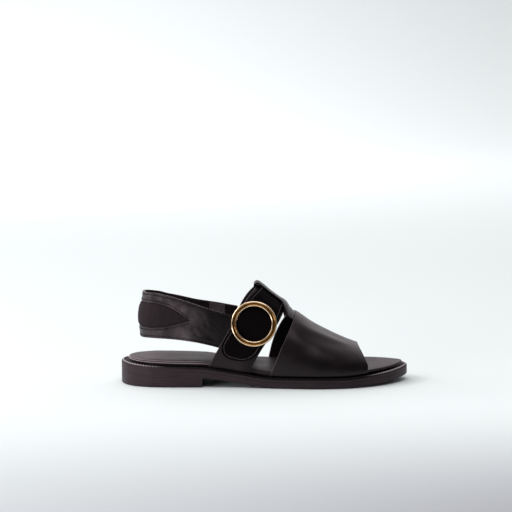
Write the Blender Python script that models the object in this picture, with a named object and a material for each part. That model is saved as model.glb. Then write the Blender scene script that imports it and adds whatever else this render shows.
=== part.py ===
"""Black leather slingback sandal for the right foot.

A flat welted sole with a low stacked heel carries a padded footbed. The open-toed vamp, the instep
strap, the loop that holds it and the heel sling are one hollow upper, tucked under the footbed's rim.
A closing strap lies over the instep strap and runs through a round metal buckle on the outer side.

Sizes are in millimetres and become metres when the meshes are made. Stations run along the shoe from
the heel's back, the outer side of the foot is negative, and the floor is at height 0.
"""

from collections import namedtuple
from functools import partial

import bmesh
import bpy
import numpy as np

MM = 0.001
GAP = 0.3  # air between pieces that meet

# Sole
LENGTH = 264.0
OUTSOLE = 5.2
WELT = 3.3
WELT_WIDTH = 13.0
HEEL_LENGTH = 75.0
EDGE_ROUND = 0.9
SOLE_STATIONS = 33
FINE_STATIONS = 400

# Footbed: its edge lies this far inside the sole's, at the sides and at the two ends
FOOTBED_SIDE_INSET = 5.6
FOOTBED_END_INSET = 6.7

# How much further it reaches towards the two ends
Reach = namedtuple("Reach", "station extra")
FOOTBED_REACH = [
    Reach(0, 2.9),
    Reach(6, 2.7),
    Reach(30, 0.0),
    Reach(232, 0.0),
    Reach(250, 2.4),
    Reach(264, 2.4),
]

# Share of its rim's full height that the footbed has along its outer and its inner side
Pad = namedtuple("Pad", "station outer inner")
PAD_HALF_WIDTH = 30.0
FOOTBED_PAD = [
    Pad(0, 0.55, 0.55),
    Pad(14, 0.65, 0.75),
    Pad(34, 0.85, 1.05),
    Pad(60, 0.85, 1.12),
    Pad(85, 0.9, 1.0),
    Pad(128, 0.9, 1.12),
    Pad(145, 0.88, 1.2),
    Pad(200, 0.85, 1.05),
    Pad(226, 0.62, 1.08),
    Pad(242, 0.5, 1.0),
    Pad(254, 0.45, 0.75),
    Pad(264, 0.4, 0.4),
]

Rim = namedtuple("Rim", "inset height")
FOOTBED_RIM = [
    Rim(1.6, 0.0),
    Rim(0.3, 0.7),
    Rim(0.0, 1.6),
    Rim(0.7, 2.7),
    Rim(2.4, 3.4),
    Rim(9.0, 3.8),
]

# Upper
VAMP = 1.8
STRAP = 1.6
SLING = 2.0
SLING_INSIDE = 1.2  # part of the sling's wall that lies inside the last
GORE = 1.2
GORE_LIFT = -0.9
GORE_BULGE = 2.2
GORE_CLEAR = 0.5
GORE_SHARE = 0.985  # the panel stops this short of the window's tips
TURN = 1.0  # inner radius where a wall turns under the footbed
TUCK = 6.5  # how far a wall reaches in under the footbed
WALL_ROWS = 31
WALL_POWER = 2.3  # 2 would make the last's sections ellipses; more makes them squarer
WALL_END = 1.0  # girth marks: where the wall, the turn under the footbed and the tuck end
TURN_END = 1.15
TUCK_END = 1.3

# Buckle
RING_RADIUS = 18.3
RING_BAND = 4.9
RING_THICK = 3.4
RING_RISE = 0.566  # share of the last's height at which the ring's middle lies
RING_LIFT = 5.6
BAR_THICK = 0.9
BAR_WIDTH = 3.0
POST_INNER = 17.0
POST_OUTER = 20.0
HUMP_REACH = 12.0
PINCH = 0.95
PINCH_REACH = 17.0
STRAP_END_ROUND = 13.5
STRAP_END_RISE = 0.10

Plan = namedtuple("Plan", "station middle half_width")
SOLE_PLAN = [
    Plan(0, 0.0, 0.0),
    Plan(3, 0.0, 13.4),
    Plan(8, 0.0, 21.2),
    Plan(16, -0.1, 27.6),
    Plan(30, -0.3, 32.2),
    Plan(48, -0.8, 33.4),
    Plan(72, -1.6, 33.0),
    Plan(96, -2.2, 33.6),
    Plan(120, -2.2, 36.4),
    Plan(145, -1.7, 40.8),
    Plan(165, -1.0, 44.2),
    Plan(183, -0.2, 46.0),
    Plan(201, 1.0, 45.4),
    Plan(219, 3.0, 41.8),
    Plan(235, 5.0, 35.6),
    Plan(247.6, 6.6, 27.4),
    Plan(255.8, 7.6, 19.2),
    Plan(261, 8.2, 11.6),
    Plan(264, 8.5, 0.0),
]

Profile = namedtuple("Profile", "station height")
SOLE_UNDERSIDE = [
    Profile(0, 12.1),
    Profile(14, 10.9),
    Profile(30, 9.9),
    Profile(48, 9.3),
    Profile(75, 8.7),
    Profile(95, 6.1),
    Profile(113, 3.3),
    Profile(130, 0.8),
    Profile(144, 0.0),
    Profile(204, 0.0),
    Profile(222, 0.9),
    Profile(242, 2.75),
    Profile(264, 5.6),
]

Crest = namedtuple("Crest", "station ridge_middle ridge_height")
LAST_RIDGE = [
    Crest(0, 0.0, 150.0),
    Crest(60, 0.0, 150.0),
    Crest(75, 0.5, 135.0),
    Crest(90, 1.0, 115.0),
    Crest(100, 1.5, 104.4),
    Crest(111, 2.0, 96.4),
    Crest(122.6, 2.5, 89.4),
    Crest(128, 2.7, 85.5),
    Crest(133.6, 3.0, 80.7),
    Crest(140, 3.3, 75.8),
    Crest(145, 3.6, 72.0),
    Crest(153, 4.0, 66.9),
    Crest(161, 4.5, 62.5),
    Crest(175, 5.5, 52.6),
    Crest(186, 6.3, 46.4),
    Crest(197, 7.0, 40.8),
    Crest(208, 7.6, 35.8),
    Crest(216, 8.0, 32.7),
    Crest(231, 8.5, 26.6),
    Crest(264, 8.5, 18.5),
]

# Edges of the bands that lie on the last, by their share of the last's height
Band = namedtuple("Band", "rise rear front")
VAMP_OUTER = [
    Band(0.0, 137.5, 224.8),
    Band(0.3, 144.5, 225.1),
    Band(0.6, 151.6, 223.0),
    Band(0.85, 157.0, 220.2),
    Band(1.0, 160.1, 217.8),
]
VAMP_INNER = [
    Band(0.0, 135.1, 224.9),
    Band(0.3, 139.5, 224.0),
    Band(0.6, 146.1, 221.4),
    Band(0.85, 153.5, 218.7),
    Band(1.0, 160.1, 217.8),
]
INSTEP_STRAP = [
    Band(0.0, 81.9, 118.5),
    Band(0.2, 91.3, 125.5),
    Band(0.45, 101.7, 134.7),
    Band(0.75, 112.9, 144.2),
    Band(1.0, 124.4, 150.5),
]
CLOSING_STRAP = [
    Band(0.0, 82.9, 117.1),
    Band(0.2, 92.1, 124.1),
    Band(0.45, 102.7, 133.3),
    Band(0.75, 114.7, 142.7),
    Band(1.0, 126.9, 148.1),
]

# How much further forward the two straps' rear edges lie on the inner side, row by row
INNER_EASE = (4.2, 3.4, 1.8, 0.5, 0.0)
INSTEP_INNER = [Band(b.rise, b.rear + ease, b.front) for b, ease in zip(INSTEP_STRAP, INNER_EASE)]
CLOSING_INNER = [Band(b.rise, b.rear + ease, b.front) for b, ease in zip(CLOSING_STRAP, INNER_EASE)]

# Path of the loop along the ridge, measured to its face on the strap, and its width, which flares to the vamp
Fold = namedtuple("Fold", "station lift half_width")
LOOP_UNDER_VAMP = [
    Fold(175.0, -1.2, 22.0),
    Fold(168.0, -1.2, 22.0),
    Fold(162.4, -1.1, 22.0),
    Fold(159.4, -0.2, 22.2),
    Fold(156.9, 0.5, 21.8),
    Fold(154.7, 1.1, 21.2),
    Fold(152.9, 1.6, 20.6),
    Fold(151.7, 2.4, 20.6),
    Fold(150.5, 3.1, 20.4),
    Fold(148.9, 3.8, 19.4),
    Fold(146.9, 4.2, 17.0),
    Fold(145.5, 4.2, 13.4),
    Fold(144.1, 4.0, 11.0),
    Fold(140.0, 3.8, 10.3),
    Fold(129.0, 3.8, 10.3),
]
LOOP_FOLD_STATION = 124.5
LOOP_CLEAR = 0.6  # least distance of the fold behind the closing strap's rear edge
LOOP_FOLD_RADIUS = 1.75
LOOP_RETURN_LIFT = 0.3
LOOP_RETURN_STATIONS = (129.0, 135.0, 142.0)

# Heel sling: edges, and the window for its elastic gore, by distance along the shoe
SLING_FRONT = 107.0
SLING_BLEND = 81.0  # ahead of this station the sling lies on the last itself
WINDOW_TIP = 64.3
Sling = namedtuple("Sling", "station bottom window_bottom window_top top inner_drop")
SLING_EDGES = [
    Sling(16, 43.1, 53.0, 75.6, 84.4, 0.0),
    Sling(28, 44.0, 53.3, 75.9, 83.8, 2.2),
    Sling(40, 43.8, 54.6, 73.6, 81.4, 2.9),
    Sling(51, 43.0, 56.8, 68.8, 78.8, 2.4),
    Sling(64.3, 41.2, 60.2, 60.2, 75.2, 1.6),
    Sling(77, 38.8, 56.6, 56.6, 71.6, -0.1),
    Sling(91, 35.4, 52.5, 52.5, 67.8, -1.9),
    Sling(107, 31.0, 48.0, 48.0, 63.8, -3.0),
]
HeelBack = namedtuple("HeelBack", "height station")
SLING_BACK = [
    HeelBack(40, 18.5),
    HeelBack(53, 17.4),
    HeelBack(66, 18.3),
    HeelBack(76, 19.6),
    HeelBack(86, 21.1),
]

OUTER, INNER = -1, 1

# Small steps over which surface directions are taken
STEP = 0.2
GIRTH_STEP = 0.002
MARK_STEP = 0.01


def smooth(rows, column, at):
    """A table's column at any place of its first column, on a smooth curve that stays within its rows."""
    known = np.array([row[0] for row in rows], float)
    value = np.array([getattr(row, column) for row in rows], float)
    step = np.diff(known)
    slope = np.diff(value) / step
    tangent = np.concatenate([slope[:1], np.zeros(len(slope) - 1), slope[-1:]])
    same_way = slope[:-1] * slope[1:] > 0
    both = np.where(same_way, slope[:-1] + slope[1:], 1.0)
    tangent[1:-1] = np.where(same_way, 2 * slope[:-1] * slope[1:] / both, 0.0)
    at = np.clip(at, known[0], known[-1])
    i = np.clip(np.searchsorted(known, at, side="right") - 1, 0, len(step) - 1)
    t = (at - known[i]) / step[i]
    return (
        (1 + 2 * t) * (1 - t) ** 2 * value[i]
        + t * (1 - t) ** 2 * step[i] * tangent[i]
        + t**2 * (3 - 2 * t) * value[i + 1]
        + t**2 * (t - 1) * step[i] * tangent[i + 1]
    )


SQUARED_PLAN = [Plan(p.station, p.middle, p.half_width**2) for p in SOLE_PLAN]


def outline(side_inset, end_inset, count, last_station=LENGTH, reach=0.0):
    """The sole's outline moved inwards: outer and inner edge as rows of (station, sideways), heel to toe.

    Reach is the share of the footbed's extra length at the two ends that is added.
    """
    turn = np.linspace(0, np.arccos(1 - 2 * last_station / LENGTH), count)
    station = LENGTH * (1 - np.cos(turn)) / 2
    middle = smooth(SOLE_PLAN, "middle", station)
    half = np.sqrt(np.maximum(smooth(SQUARED_PLAN, "half_width", station), 0))
    edges = []
    for side in (OUTER, INNER):
        edge = np.column_stack([station, middle + side * half])
        along = np.gradient(edge, axis=0)
        along[0] = (0, 1) if side == INNER else (0, -1)
        if last_station == LENGTH:
            along[-1] = (0, -1) if side == INNER else (0, 1)
        along /= np.linalg.norm(along, axis=1)[:, None]
        outward = np.column_stack([-along[:, 1], along[:, 0]]) * side
        extra = reach * smooth(FOOTBED_REACH, "extra", station)[:, None]
        inset = side_inset + (end_inset - side_inset - extra) * np.abs(outward[:, :1])
        edges.append(edge - outward * inset)
    return edges


FINE_FOOTBED = outline(FOOTBED_SIDE_INSET - GAP, FOOTBED_END_INSET - GAP, FINE_STATIONS)
SOLE_EDGE = np.concatenate(outline(0, 0, FINE_STATIONS))
SOLE_MIDDLE = (SOLE_EDGE[:, 1].min() + SOLE_EDGE[:, 1].max()) / 2


def underside(station):
    return smooth(SOLE_UNDERSIDE, "height", station)


def welt_top(station):
    return underside(station) + OUTSOLE + GAP + WELT


def footbed_height(rim_height, station, sideways):
    """Height of a line of the footbed, which is thinner at its ends and along the toe's outer side."""
    aside = sideways - smooth(SOLE_PLAN, "middle", station)
    to_inner = np.clip(0.5 + aside / (2 * PAD_HALF_WIDTH), 0, 1)
    kept = smooth(FOOTBED_PAD, "outer", station) * (1 - to_inner) + smooth(FOOTBED_PAD, "inner", station) * to_inner
    return welt_top(station) + VAMP + 2 * GAP + rim_height * kept


def in_frame(station, sideways, height):
    """Shoe coordinates as points of the part's frame, in metres, with the sole's middle over the origin."""
    station, sideways, height = np.broadcast_arrays(station, sideways, height)
    return np.stack([station - LENGTH / 2, sideways - SOLE_MIDDLE, height], axis=-1) * MM


def footbed_edge(side, station):
    edge = FINE_FOOTBED[0 if side == OUTER else 1]
    return np.interp(station, edge[:, 0], edge[:, 1])


def rise_of(girth):
    """Share of the last's height at a girth mark: 0 along the footbed's edge and 1 on the ridge."""
    angle = np.clip(WALL_END - np.abs(girth), 0, 1) * np.pi / 2
    return np.sin(angle) ** (2 / WALL_POWER)


def girth_at_rise(side, rise):
    return side * (WALL_END - np.arcsin(np.clip(rise, 0, 1) ** (WALL_POWER / 2)) / (np.pi / 2))


def last(station, girth):
    """Inner face of the upper, as sideways place and height.

    Girth marks run across the foot: 0 on the ridge, -1 and 1 where the wall reaches the footbed's edge,
    and beyond that round the turn and in under the footbed.
    """
    station, girth = np.broadcast_arrays(np.asarray(station, float), np.asarray(girth, float))
    side = np.where(girth < 0, OUTER, INNER)
    edge = np.where(girth < 0, footbed_edge(OUTER, station), footbed_edge(INNER, station))
    base = welt_top(station) + GAP + VAMP + TURN
    ridge_middle = smooth(LAST_RIDGE, "ridge_middle", station)
    ridge_height = smooth(LAST_RIDGE, "ridge_height", station)
    mark = np.abs(girth)
    angle = np.clip(WALL_END - mark, 0, 1) * np.pi / 2
    wall_y = ridge_middle + (edge - ridge_middle) * np.cos(angle) ** (2 / WALL_POWER)
    wall_z = base + (ridge_height - base) * np.sin(angle) ** (2 / WALL_POWER)
    turn = np.clip((mark - WALL_END) / (TURN_END - WALL_END), 0, 1) * np.pi / 2
    tuck = np.clip((mark - TURN_END) / (TUCK_END - TURN_END), 0, 1) * TUCK
    below_y = edge - side * (TURN * (1 - np.cos(turn)) + tuck)
    below_z = base - TURN * np.sin(turn)
    on_wall = mark <= WALL_END
    return np.where(on_wall, wall_y, below_y), np.where(on_wall, wall_z, below_z)


def raised(station, girth, lift):
    """Points of the last moved out along its surface's normal."""
    station, girth = np.broadcast_arrays(np.asarray(station, float), np.asarray(girth, float))

    def at(along, across):
        return np.stack([station + along, *last(station + along, girth + across)], axis=-1)

    normal = np.cross(at(STEP, 0) - at(-STEP, 0), at(0, GIRTH_STEP) - at(0, -GIRTH_STEP))
    normal /= np.linalg.norm(normal, axis=-1)[..., None]
    return at(0, 0) + normal * np.asarray(lift, float)[..., None]


def band_edge(outer_rows, inner_rows, column, girth):
    rise = rise_of(girth)
    return np.where(girth < 0, smooth(outer_rows, column, rise), smooth(inner_rows, column, rise))


def new_material(name, colour, roughness, metallic):
    material = bpy.data.materials.new(name)
    material.use_nodes = True
    shader = material.node_tree.nodes["Principled BSDF"]
    shader.inputs["Base Color"].default_value = (*colour, 1.0)
    shader.inputs["Roughness"].default_value = roughness
    shader.inputs["Metallic"].default_value = metallic
    return material


def add_object(name, mesh_builder, material):
    """A named object whose mesh comes from a bmesh, shaded smooth but for its hard edges."""
    mesh = bpy.data.meshes.new(name)
    mesh_builder.to_mesh(mesh)
    mesh_builder.free()
    mesh.materials.append(material)
    mesh.shade_smooth()
    mesh.set_sharp_from_angle(angle=np.radians(40))
    obj = bpy.data.objects.new(name, mesh)
    bpy.context.scene.collection.objects.link(obj)
    return obj


def sheet(name, points, thickness, offset, material):
    """A wall of even thickness over a grid of points; offset 1 puts all of it outside them, -1 inside."""
    builder = bmesh.new()
    rows = [[builder.verts.new(p) for p in row] for row in points]
    for low, high in zip(rows, rows[1:]):
        for a, b, c, d in zip(low, low[1:], high[1:], high):
            builder.faces.new((a, b, c, d))
    return walled(name, builder, thickness, offset, material)


def walled(name, builder, thickness, offset, material):
    obj = add_object(name, builder, material)
    solidify = obj.modifiers.new("wall", "SOLIDIFY")
    solidify.thickness = thickness * MM
    solidify.offset = offset
    solidify.use_even_offset = True
    solidify.use_quality_normals = True
    return obj


def helper(obj):
    """Marks a solid that is only joined into another one."""
    obj.hide_render = True
    obj.display_type = "WIRE"
    return obj


def join(target, *others):
    for other in others:
        union = target.modifiers.new("join " + other.name, "BOOLEAN")
        union.operation = "UNION"
        union.solver = "EXACT"
        union.object = helper(other)


def plate(name, rings, material, last_station=LENGTH):
    """A solid through rings of the sole's outline, each of (side inset, end inset, height function, reach)."""
    builder = bmesh.new()
    loops = []
    for side_inset, end_inset, height, reach in rings:
        edges = outline(side_inset, end_inset, SOLE_STATIONS, last_station, reach)
        outer, inner = (
            [builder.verts.new(p) for p in in_frame(e[:, 0], e[:, 1], height(e[:, 0], e[:, 1]))] for e in edges
        )
        builder.verts.ensure_lookup_table()
        loops.append((outer, inner))
    for (low_outer, low_inner), (high_outer, high_inner) in zip(loops, loops[1:]):
        for i in range(SOLE_STATIONS - 1):
            builder.faces.new((low_outer[i], low_outer[i + 1], high_outer[i + 1], high_outer[i]))
            builder.faces.new((low_inner[i + 1], low_inner[i], high_inner[i], high_inner[i + 1]))
        builder.faces.new((low_outer[-1], low_inner[-1], high_inner[-1], high_outer[-1]))
    for (outer, inner), under in ((loops[0], True), (loops[-1], False)):
        for i in range(SOLE_STATIONS - 1):
            corners = (outer[i], outer[i + 1], inner[i + 1], inner[i])
            builder.faces.new(corners[::-1] if under else corners)
    bmesh.ops.remove_doubles(builder, verts=builder.verts, dist=1e-6)
    bmesh.ops.dissolve_degenerate(builder, edges=builder.edges, dist=1e-7)
    bmesh.ops.recalc_face_normals(builder, faces=builder.faces)
    return add_object(name, builder, material)


def make_heel(material):
    plate(
        "heel",
        [
            (EDGE_ROUND, EDGE_ROUND, lambda s, _: 0 * s, 0.0),
            (0.0, 0.0, lambda s, _: 0 * s + EDGE_ROUND, 0.0),
            (0.0, 0.0, lambda s, _: underside(s) - GAP, 0.0),
        ],
        material,
        HEEL_LENGTH,
    )


def make_outsole(material):
    plate(
        "outsole",
        [
            (EDGE_ROUND, EDGE_ROUND, lambda s, _: underside(s), 0.0),
            (0.0, 0.0, lambda s, _: underside(s) + EDGE_ROUND, 0.0),
            (0.0, 0.0, lambda s, _: underside(s) + OUTSOLE, 0.0),
        ],
        material,
    )


def make_welt(material):
    """The strip that runs round the top of the outsole, closed as a ring."""
    bottom = OUTSOLE + GAP
    rings = [
        (WELT_WIDTH, WELT_WIDTH, bottom),
        (0.0, 0.0, bottom),
        (0.0, 0.0, bottom + WELT - EDGE_ROUND / 2),
        (EDGE_ROUND / 2, EDGE_ROUND / 2, bottom + WELT),
        (WELT_WIDTH, WELT_WIDTH, bottom + WELT),
    ]
    builder = bmesh.new()
    loops = []
    for side_inset, end_inset, lift in rings:
        outer, inner = outline(side_inset, end_inset, SOLE_STATIONS)
        station, sideways = np.concatenate([outer, inner[-2:0:-1]]).T
        loops.append([builder.verts.new(p) for p in in_frame(station, sideways, underside(station) + lift)])
    for low, high in zip(loops, loops[1:] + loops[:1]):
        for i in range(len(low)):
            j = (i + 1) % len(low)
            builder.faces.new((low[i], low[j], high[j], high[i]))
    bmesh.ops.recalc_face_normals(builder, faces=builder.faces)
    add_object("welt", builder, material)


def make_footbed(material):
    """Padded insole: a pad inside the welt, and a rim whose rounded edge stands over the tucked upper."""
    side, end = FOOTBED_SIDE_INSET, FOOTBED_END_INSET
    pad = WELT_WIDTH + GAP
    rim = VAMP + 2 * GAP
    rings = [
        (pad, pad, lambda s, _: underside(s) + OUTSOLE + GAP, 0.0),
        (pad, pad, lambda s, _: welt_top(s) + rim, 0.0),
    ]
    for row in FOOTBED_RIM:
        height = partial(footbed_height, row.height)
        rings.append((side + row.inset, end + row.inset, height, 1.0))
    plate("footbed", rings, material)


def last_grid(outer_rows, inner_rows, columns):
    """Grid over a band of the last, from one lasting edge over the ridge to the other."""
    below = np.array([(WALL_END + TURN_END) / 2, TURN_END, TUCK_END])
    girth = np.concatenate([-below[::-1], np.linspace(-WALL_END, WALL_END, WALL_ROWS), below])
    rear = band_edge(outer_rows, inner_rows, "rear", girth)
    front = band_edge(outer_rows, inner_rows, "front", girth)
    station = rear[:, None] + (front - rear)[:, None] * np.linspace(0, 1, columns)
    return in_frame(station, *last(station, girth[:, None]))


def make_vamp(material):
    return sheet("upper", last_grid(VAMP_OUTER, VAMP_INNER, 13), VAMP, 1, material)


def make_instep_strap(material):
    return sheet("instep_strap", last_grid(INSTEP_STRAP, INSTEP_INNER, 7), STRAP, 1, material)


def ridge_girth(station, from_ridge):
    """Girth mark that lies a sideways distance from the ridge."""
    ridge_middle = smooth(LAST_RIDGE, "ridge_middle", station)
    outer_reach = ridge_middle - footbed_edge(OUTER, station)
    inner_reach = footbed_edge(INNER, station) - ridge_middle
    reach = np.where(from_ridge < 0, outer_reach, inner_reach)
    angle = np.arccos((np.abs(from_ridge) / reach) ** (WALL_POWER / 2))
    return np.sign(from_ridge) * (WALL_END - angle / (np.pi / 2))


def make_loop(material):
    """Strip from under the vamp over the instep strap, folded round its rear edge and back beneath it."""
    shares = np.linspace(-1, 1, 9)
    fold_half = LOOP_UNDER_VAMP[-1].half_width
    edge = smooth(CLOSING_STRAP, "rear", rise_of(ridge_girth(LOOP_FOLD_STATION, shares * fold_half)))
    fold_station = np.minimum(edge - LOOP_CLEAR, LOOP_FOLD_STATION)
    fold_middle = LOOP_RETURN_LIFT + LOOP_FOLD_RADIUS
    rows = [(p.station + 0 * edge, p.lift, p.half_width) for p in LOOP_UNDER_VAMP]
    for turn in np.linspace(0, np.pi, 7):
        station = fold_station - LOOP_FOLD_RADIUS * np.sin(turn)
        rows.append((station, fold_middle + LOOP_FOLD_RADIUS * np.cos(turn), fold_half))
    rows += [(s + 0 * edge, LOOP_RETURN_LIFT, fold_half) for s in LOOP_RETURN_STATIONS]
    station = np.array([row[0] for row in rows])
    lift = np.array([row[1] for row in rows])[:, None] + 0 * station
    from_ridge = np.array([row[2] for row in rows])[:, None] * shares
    point = raised(station, ridge_girth(station, from_ridge), lift)
    return sheet("loop", in_frame(*np.moveaxis(point, -1, 0)), STRAP, 1, material)


def sling_point(station, side, height):
    """A point of the last's heel; behind the blend station its outline is drawn in to the sling's back."""
    back = smooth(SLING_BACK, "station", height)
    heel = FOOTBED_END_INSET - GAP
    drawn = heel + (station - back) * (SLING_BLEND - heel) / (SLING_BLEND - back)
    on_last = np.where(station < SLING_BLEND, drawn, station)
    base = welt_top(on_last) + GAP + VAMP + TURN
    rise = (height - base) / (smooth(LAST_RIDGE, "ridge_height", on_last) - base)
    across, _ = last(on_last, girth_at_rise(side, rise))
    return np.stack(np.broadcast_arrays(station, across, height), axis=-1)


def sling_column(along, shares, low, high, clear):
    """Points up one column of the sling between two of its edge lines; along runs from -1 over the heel to 1."""
    side = OUTER if along < 0 else INNER
    station = SLING_EDGES[0].station + (SLING_FRONT - SLING_EDGES[0].station) * along**2
    if station > WINDOW_TIP - GAP and low == "window_top":
        low = "window_bottom"
    bottom = smooth(SLING_EDGES, low, station) + clear
    top = smooth(SLING_EDGES, high, station) - clear
    if side == INNER and high == "top":
        top -= smooth(SLING_EDGES, "inner_drop", station)
    height = bottom + (top - bottom) * shares
    back = smooth(SLING_BACK, "station", height)
    station = back + (SLING_FRONT - back) * along**2
    return sling_point(station, side, height)


def sling_marks(tip_count, front_count):
    tip = np.sqrt((WINDOW_TIP - SLING_EDGES[0].station) / (SLING_FRONT - SLING_EDGES[0].station))
    half = np.concatenate([np.linspace(0, tip, tip_count), np.linspace(tip, 1, front_count)[1:]])
    return np.concatenate([-half[:0:-1], half]), tip


def make_sling(material):
    """Heel band with a leaf-shaped window over the back: a lower and an upper rail that meet at its tips."""
    marks, _ = sling_marks(12, 8)
    builder = bmesh.new()
    for low, high in (("bottom", "window_bottom"), ("window_top", "top")):
        columns = [
            [builder.verts.new(p) for p in in_frame(*sling_column(a, np.linspace(0, 1, 4), low, high, 0).T)]
            for a in marks
        ]
        for left, right in zip(columns, columns[1:]):
            for i in range(len(left) - 1):
                builder.faces.new((left[i], left[i + 1], right[i + 1], right[i]))
    bmesh.ops.remove_doubles(builder, verts=builder.verts, dist=2e-5)
    return walled("sling", builder, SLING, 1 - 2 * SLING_INSIDE / SLING, material)


def make_gore(material):
    """Elastic panel in the sling's window, bulging out over the heel."""
    marks, tip = sling_marks(12, 2)
    shares = np.linspace(0, 1, 7)

    def window_column(along):
        return sling_column(along, shares, "window_bottom", "window_top", GORE_CLEAR)

    builder = bmesh.new()
    columns = []
    for along in marks[1:-1] * GORE_SHARE:
        column = window_column(along)
        rising = np.gradient(column, axis=0)
        around = window_column(along + MARK_STEP) - window_column(along - MARK_STEP)
        normal = np.cross(rising, around)
        normal /= np.linalg.norm(normal, axis=1)[:, None]
        swell = GORE_BULGE * np.cos(np.pi / 2 * along / tip) ** 2 * np.sin(np.pi * shares) ** 1.5
        column = column + normal * (GORE_LIFT + swell)[:, None]
        columns.append([builder.verts.new(p) for p in in_frame(*column.T)])
    for left, right in zip(columns, columns[1:]):
        for i in range(len(left) - 1):
            builder.faces.new((left[i], left[i + 1], right[i + 1], right[i]))
    walled("heel_gore", builder, GORE, 1, material)


def closing_edges(girth):
    return tuple(band_edge(CLOSING_STRAP, CLOSING_INNER, column, girth) for column in ("rear", "front"))


def ring_frame():
    """Middle of the buckle on the last, with unit vectors out of the strap, up along it and across it."""
    rises = np.array([RING_RISE - 0.08, RING_RISE, RING_RISE + 0.08])
    girths = girth_at_rise(OUTER, rises)
    stations = sum(closing_edges(girths)) / 2
    low, centre, high = raised(stations, girths, np.zeros(3))
    out = raised(stations, girths, np.ones(3))[1] - centre
    up = high - low
    up -= out * (up @ out)
    up /= np.linalg.norm(up)
    return centre, out, up, np.cross(out, up)


def make_closing_strap(material):
    """Outer layer of the instep strap, from its rounded end near the sole to the inner side's footbed edge."""
    centre, _, up, _ = ring_frame()
    fine = np.linspace(girth_at_rise(OUTER, STRAP_END_RISE), girth_at_rise(INNER, 0.03), 500)
    middle = raised(sum(closing_edges(fine)) / 2, fine, np.full(500, STRAP + GAP))
    run = np.concatenate([[0], np.cumsum(np.linalg.norm(np.diff(middle, axis=0), axis=1))])
    from_end = np.concatenate([
        STRAP_END_ROUND * (1 - np.cos(np.linspace(0, np.pi / 2, 7))),
        np.linspace(STRAP_END_ROUND, run[-1], 42)[1:],
    ])
    girth = np.interp(from_end, run, fine)
    rear, front = closing_edges(girth)
    on_middle = raised((rear + front) / 2, girth, np.zeros_like(girth))
    from_ring = np.where(girth < 0, (on_middle - centre) @ up, LENGTH)
    corner = np.clip(STRAP_END_ROUND - from_end, 0, STRAP_END_ROUND)
    rounded = STRAP_END_ROUND - np.sqrt(STRAP_END_ROUND**2 - corner**2)
    pinch = PINCH * np.cos(np.pi / 2 * np.clip(from_ring / PINCH_REACH, -1, 1)) ** 2
    rear, front = rear + rounded + pinch, front - rounded - pinch
    hump = (BAR_THICK + GAP) * np.cos(np.pi / 2 * np.clip(from_ring / HUMP_REACH, -1, 1)) ** 2
    columns = np.linspace(0, 1, 7)
    station = rear[:, None] + (front - rear)[:, None] * columns
    lift = (STRAP + GAP + hump)[:, None] + 0 * columns
    point = raised(station, girth[:, None], lift)
    sheet("closing_strap", in_frame(*np.moveaxis(point, -1, 0)), STRAP, 1, material)


def make_buckle(material):
    """Round buckle of oval section, with a flat bar behind the closing strap."""
    centre, out, up, across = ring_frame()
    middle = centre + out * RING_LIFT
    builder = bmesh.new()
    turns, sides = 56, 12
    rings = []
    for turn in np.linspace(0, 2 * np.pi, turns, endpoint=False):
        radial = across * np.cos(turn) + up * np.sin(turn)
        section = [
            middle
            + radial * (RING_RADIUS + RING_BAND / 2 * np.cos(a))
            + out * RING_THICK / 2 * np.sin(a)
            for a in np.linspace(0, 2 * np.pi, sides, endpoint=False)
        ]
        rings.append([builder.verts.new(in_frame(*p)) for p in section])
    for ring, following in zip(rings, rings[1:] + rings[:1]):
        for i in range(sides):
            j = (i + 1) % sides
            builder.faces.new((ring[i], ring[j], following[j], following[i]))
    bmesh.ops.recalc_face_normals(builder, faces=builder.faces)
    buckle = add_object("ring_buckle", builder, material)

    low = STRAP + GAP
    profile = [
        (-POST_OUTER, low),
        (POST_OUTER, low),
        (POST_OUTER, RING_LIFT),
        (POST_INNER, RING_LIFT),
        (POST_INNER, low + BAR_THICK),
        (-POST_INNER, low + BAR_THICK),
        (-POST_INNER, RING_LIFT),
        (-POST_OUTER, RING_LIFT),
    ]
    builder = bmesh.new()
    ends = [
        [builder.verts.new(in_frame(*(centre + across * a + out * o + up * u))) for a, o in profile]
        for u in (-BAR_WIDTH / 2, BAR_WIDTH / 2)
    ]
    for end in ends:
        builder.faces.new(end)
    for i in range(len(profile)):
        j = (i + 1) % len(profile)
        builder.faces.new((ends[0][i], ends[0][j], ends[1][j], ends[1][i]))
    bmesh.ops.recalc_face_normals(builder, faces=builder.faces)
    join(buckle, add_object("buckle_bar", builder, material))


def main():
    for obj in list(bpy.data.objects):
        bpy.data.objects.remove(obj)
    leather = new_material("black_leather", (0.012, 0.010, 0.011), 0.38, 0.0)
    elastic = new_material("black_elastic", (0.010, 0.009, 0.010), 0.85, 0.0)
    lining = new_material("footbed_leather", (0.035, 0.028, 0.030), 0.45, 0.0)
    sole = new_material("sole_leather", (0.022, 0.017, 0.018), 0.55, 0.0)
    gold = new_material("polished_gold", (0.85, 0.58, 0.28), 0.12, 1.0)

    make_heel(sole)
    make_outsole(sole)
    make_welt(sole)
    make_footbed(lining)
    upper = make_vamp(leather)
    join(upper, make_loop(leather), make_instep_strap(leather), make_sling(leather))
    make_gore(elastic)
    make_closing_strap(leather)
    make_buckle(gold)


main()
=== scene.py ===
"""Finish of a black leather slingback sandal: leather, stitching, elastic, a gold ring and a studio.

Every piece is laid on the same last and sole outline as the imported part. Sizes are in millimetres of the
shoe: stations run from the heel's back, the outer side is negative, and the floor is at height 0.
"""

import math
from collections import namedtuple

import bpy
import numpy as np
from bpy.props import FloatProperty, FloatVectorProperty, PointerProperty
from mathutils import Matrix, Vector


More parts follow.
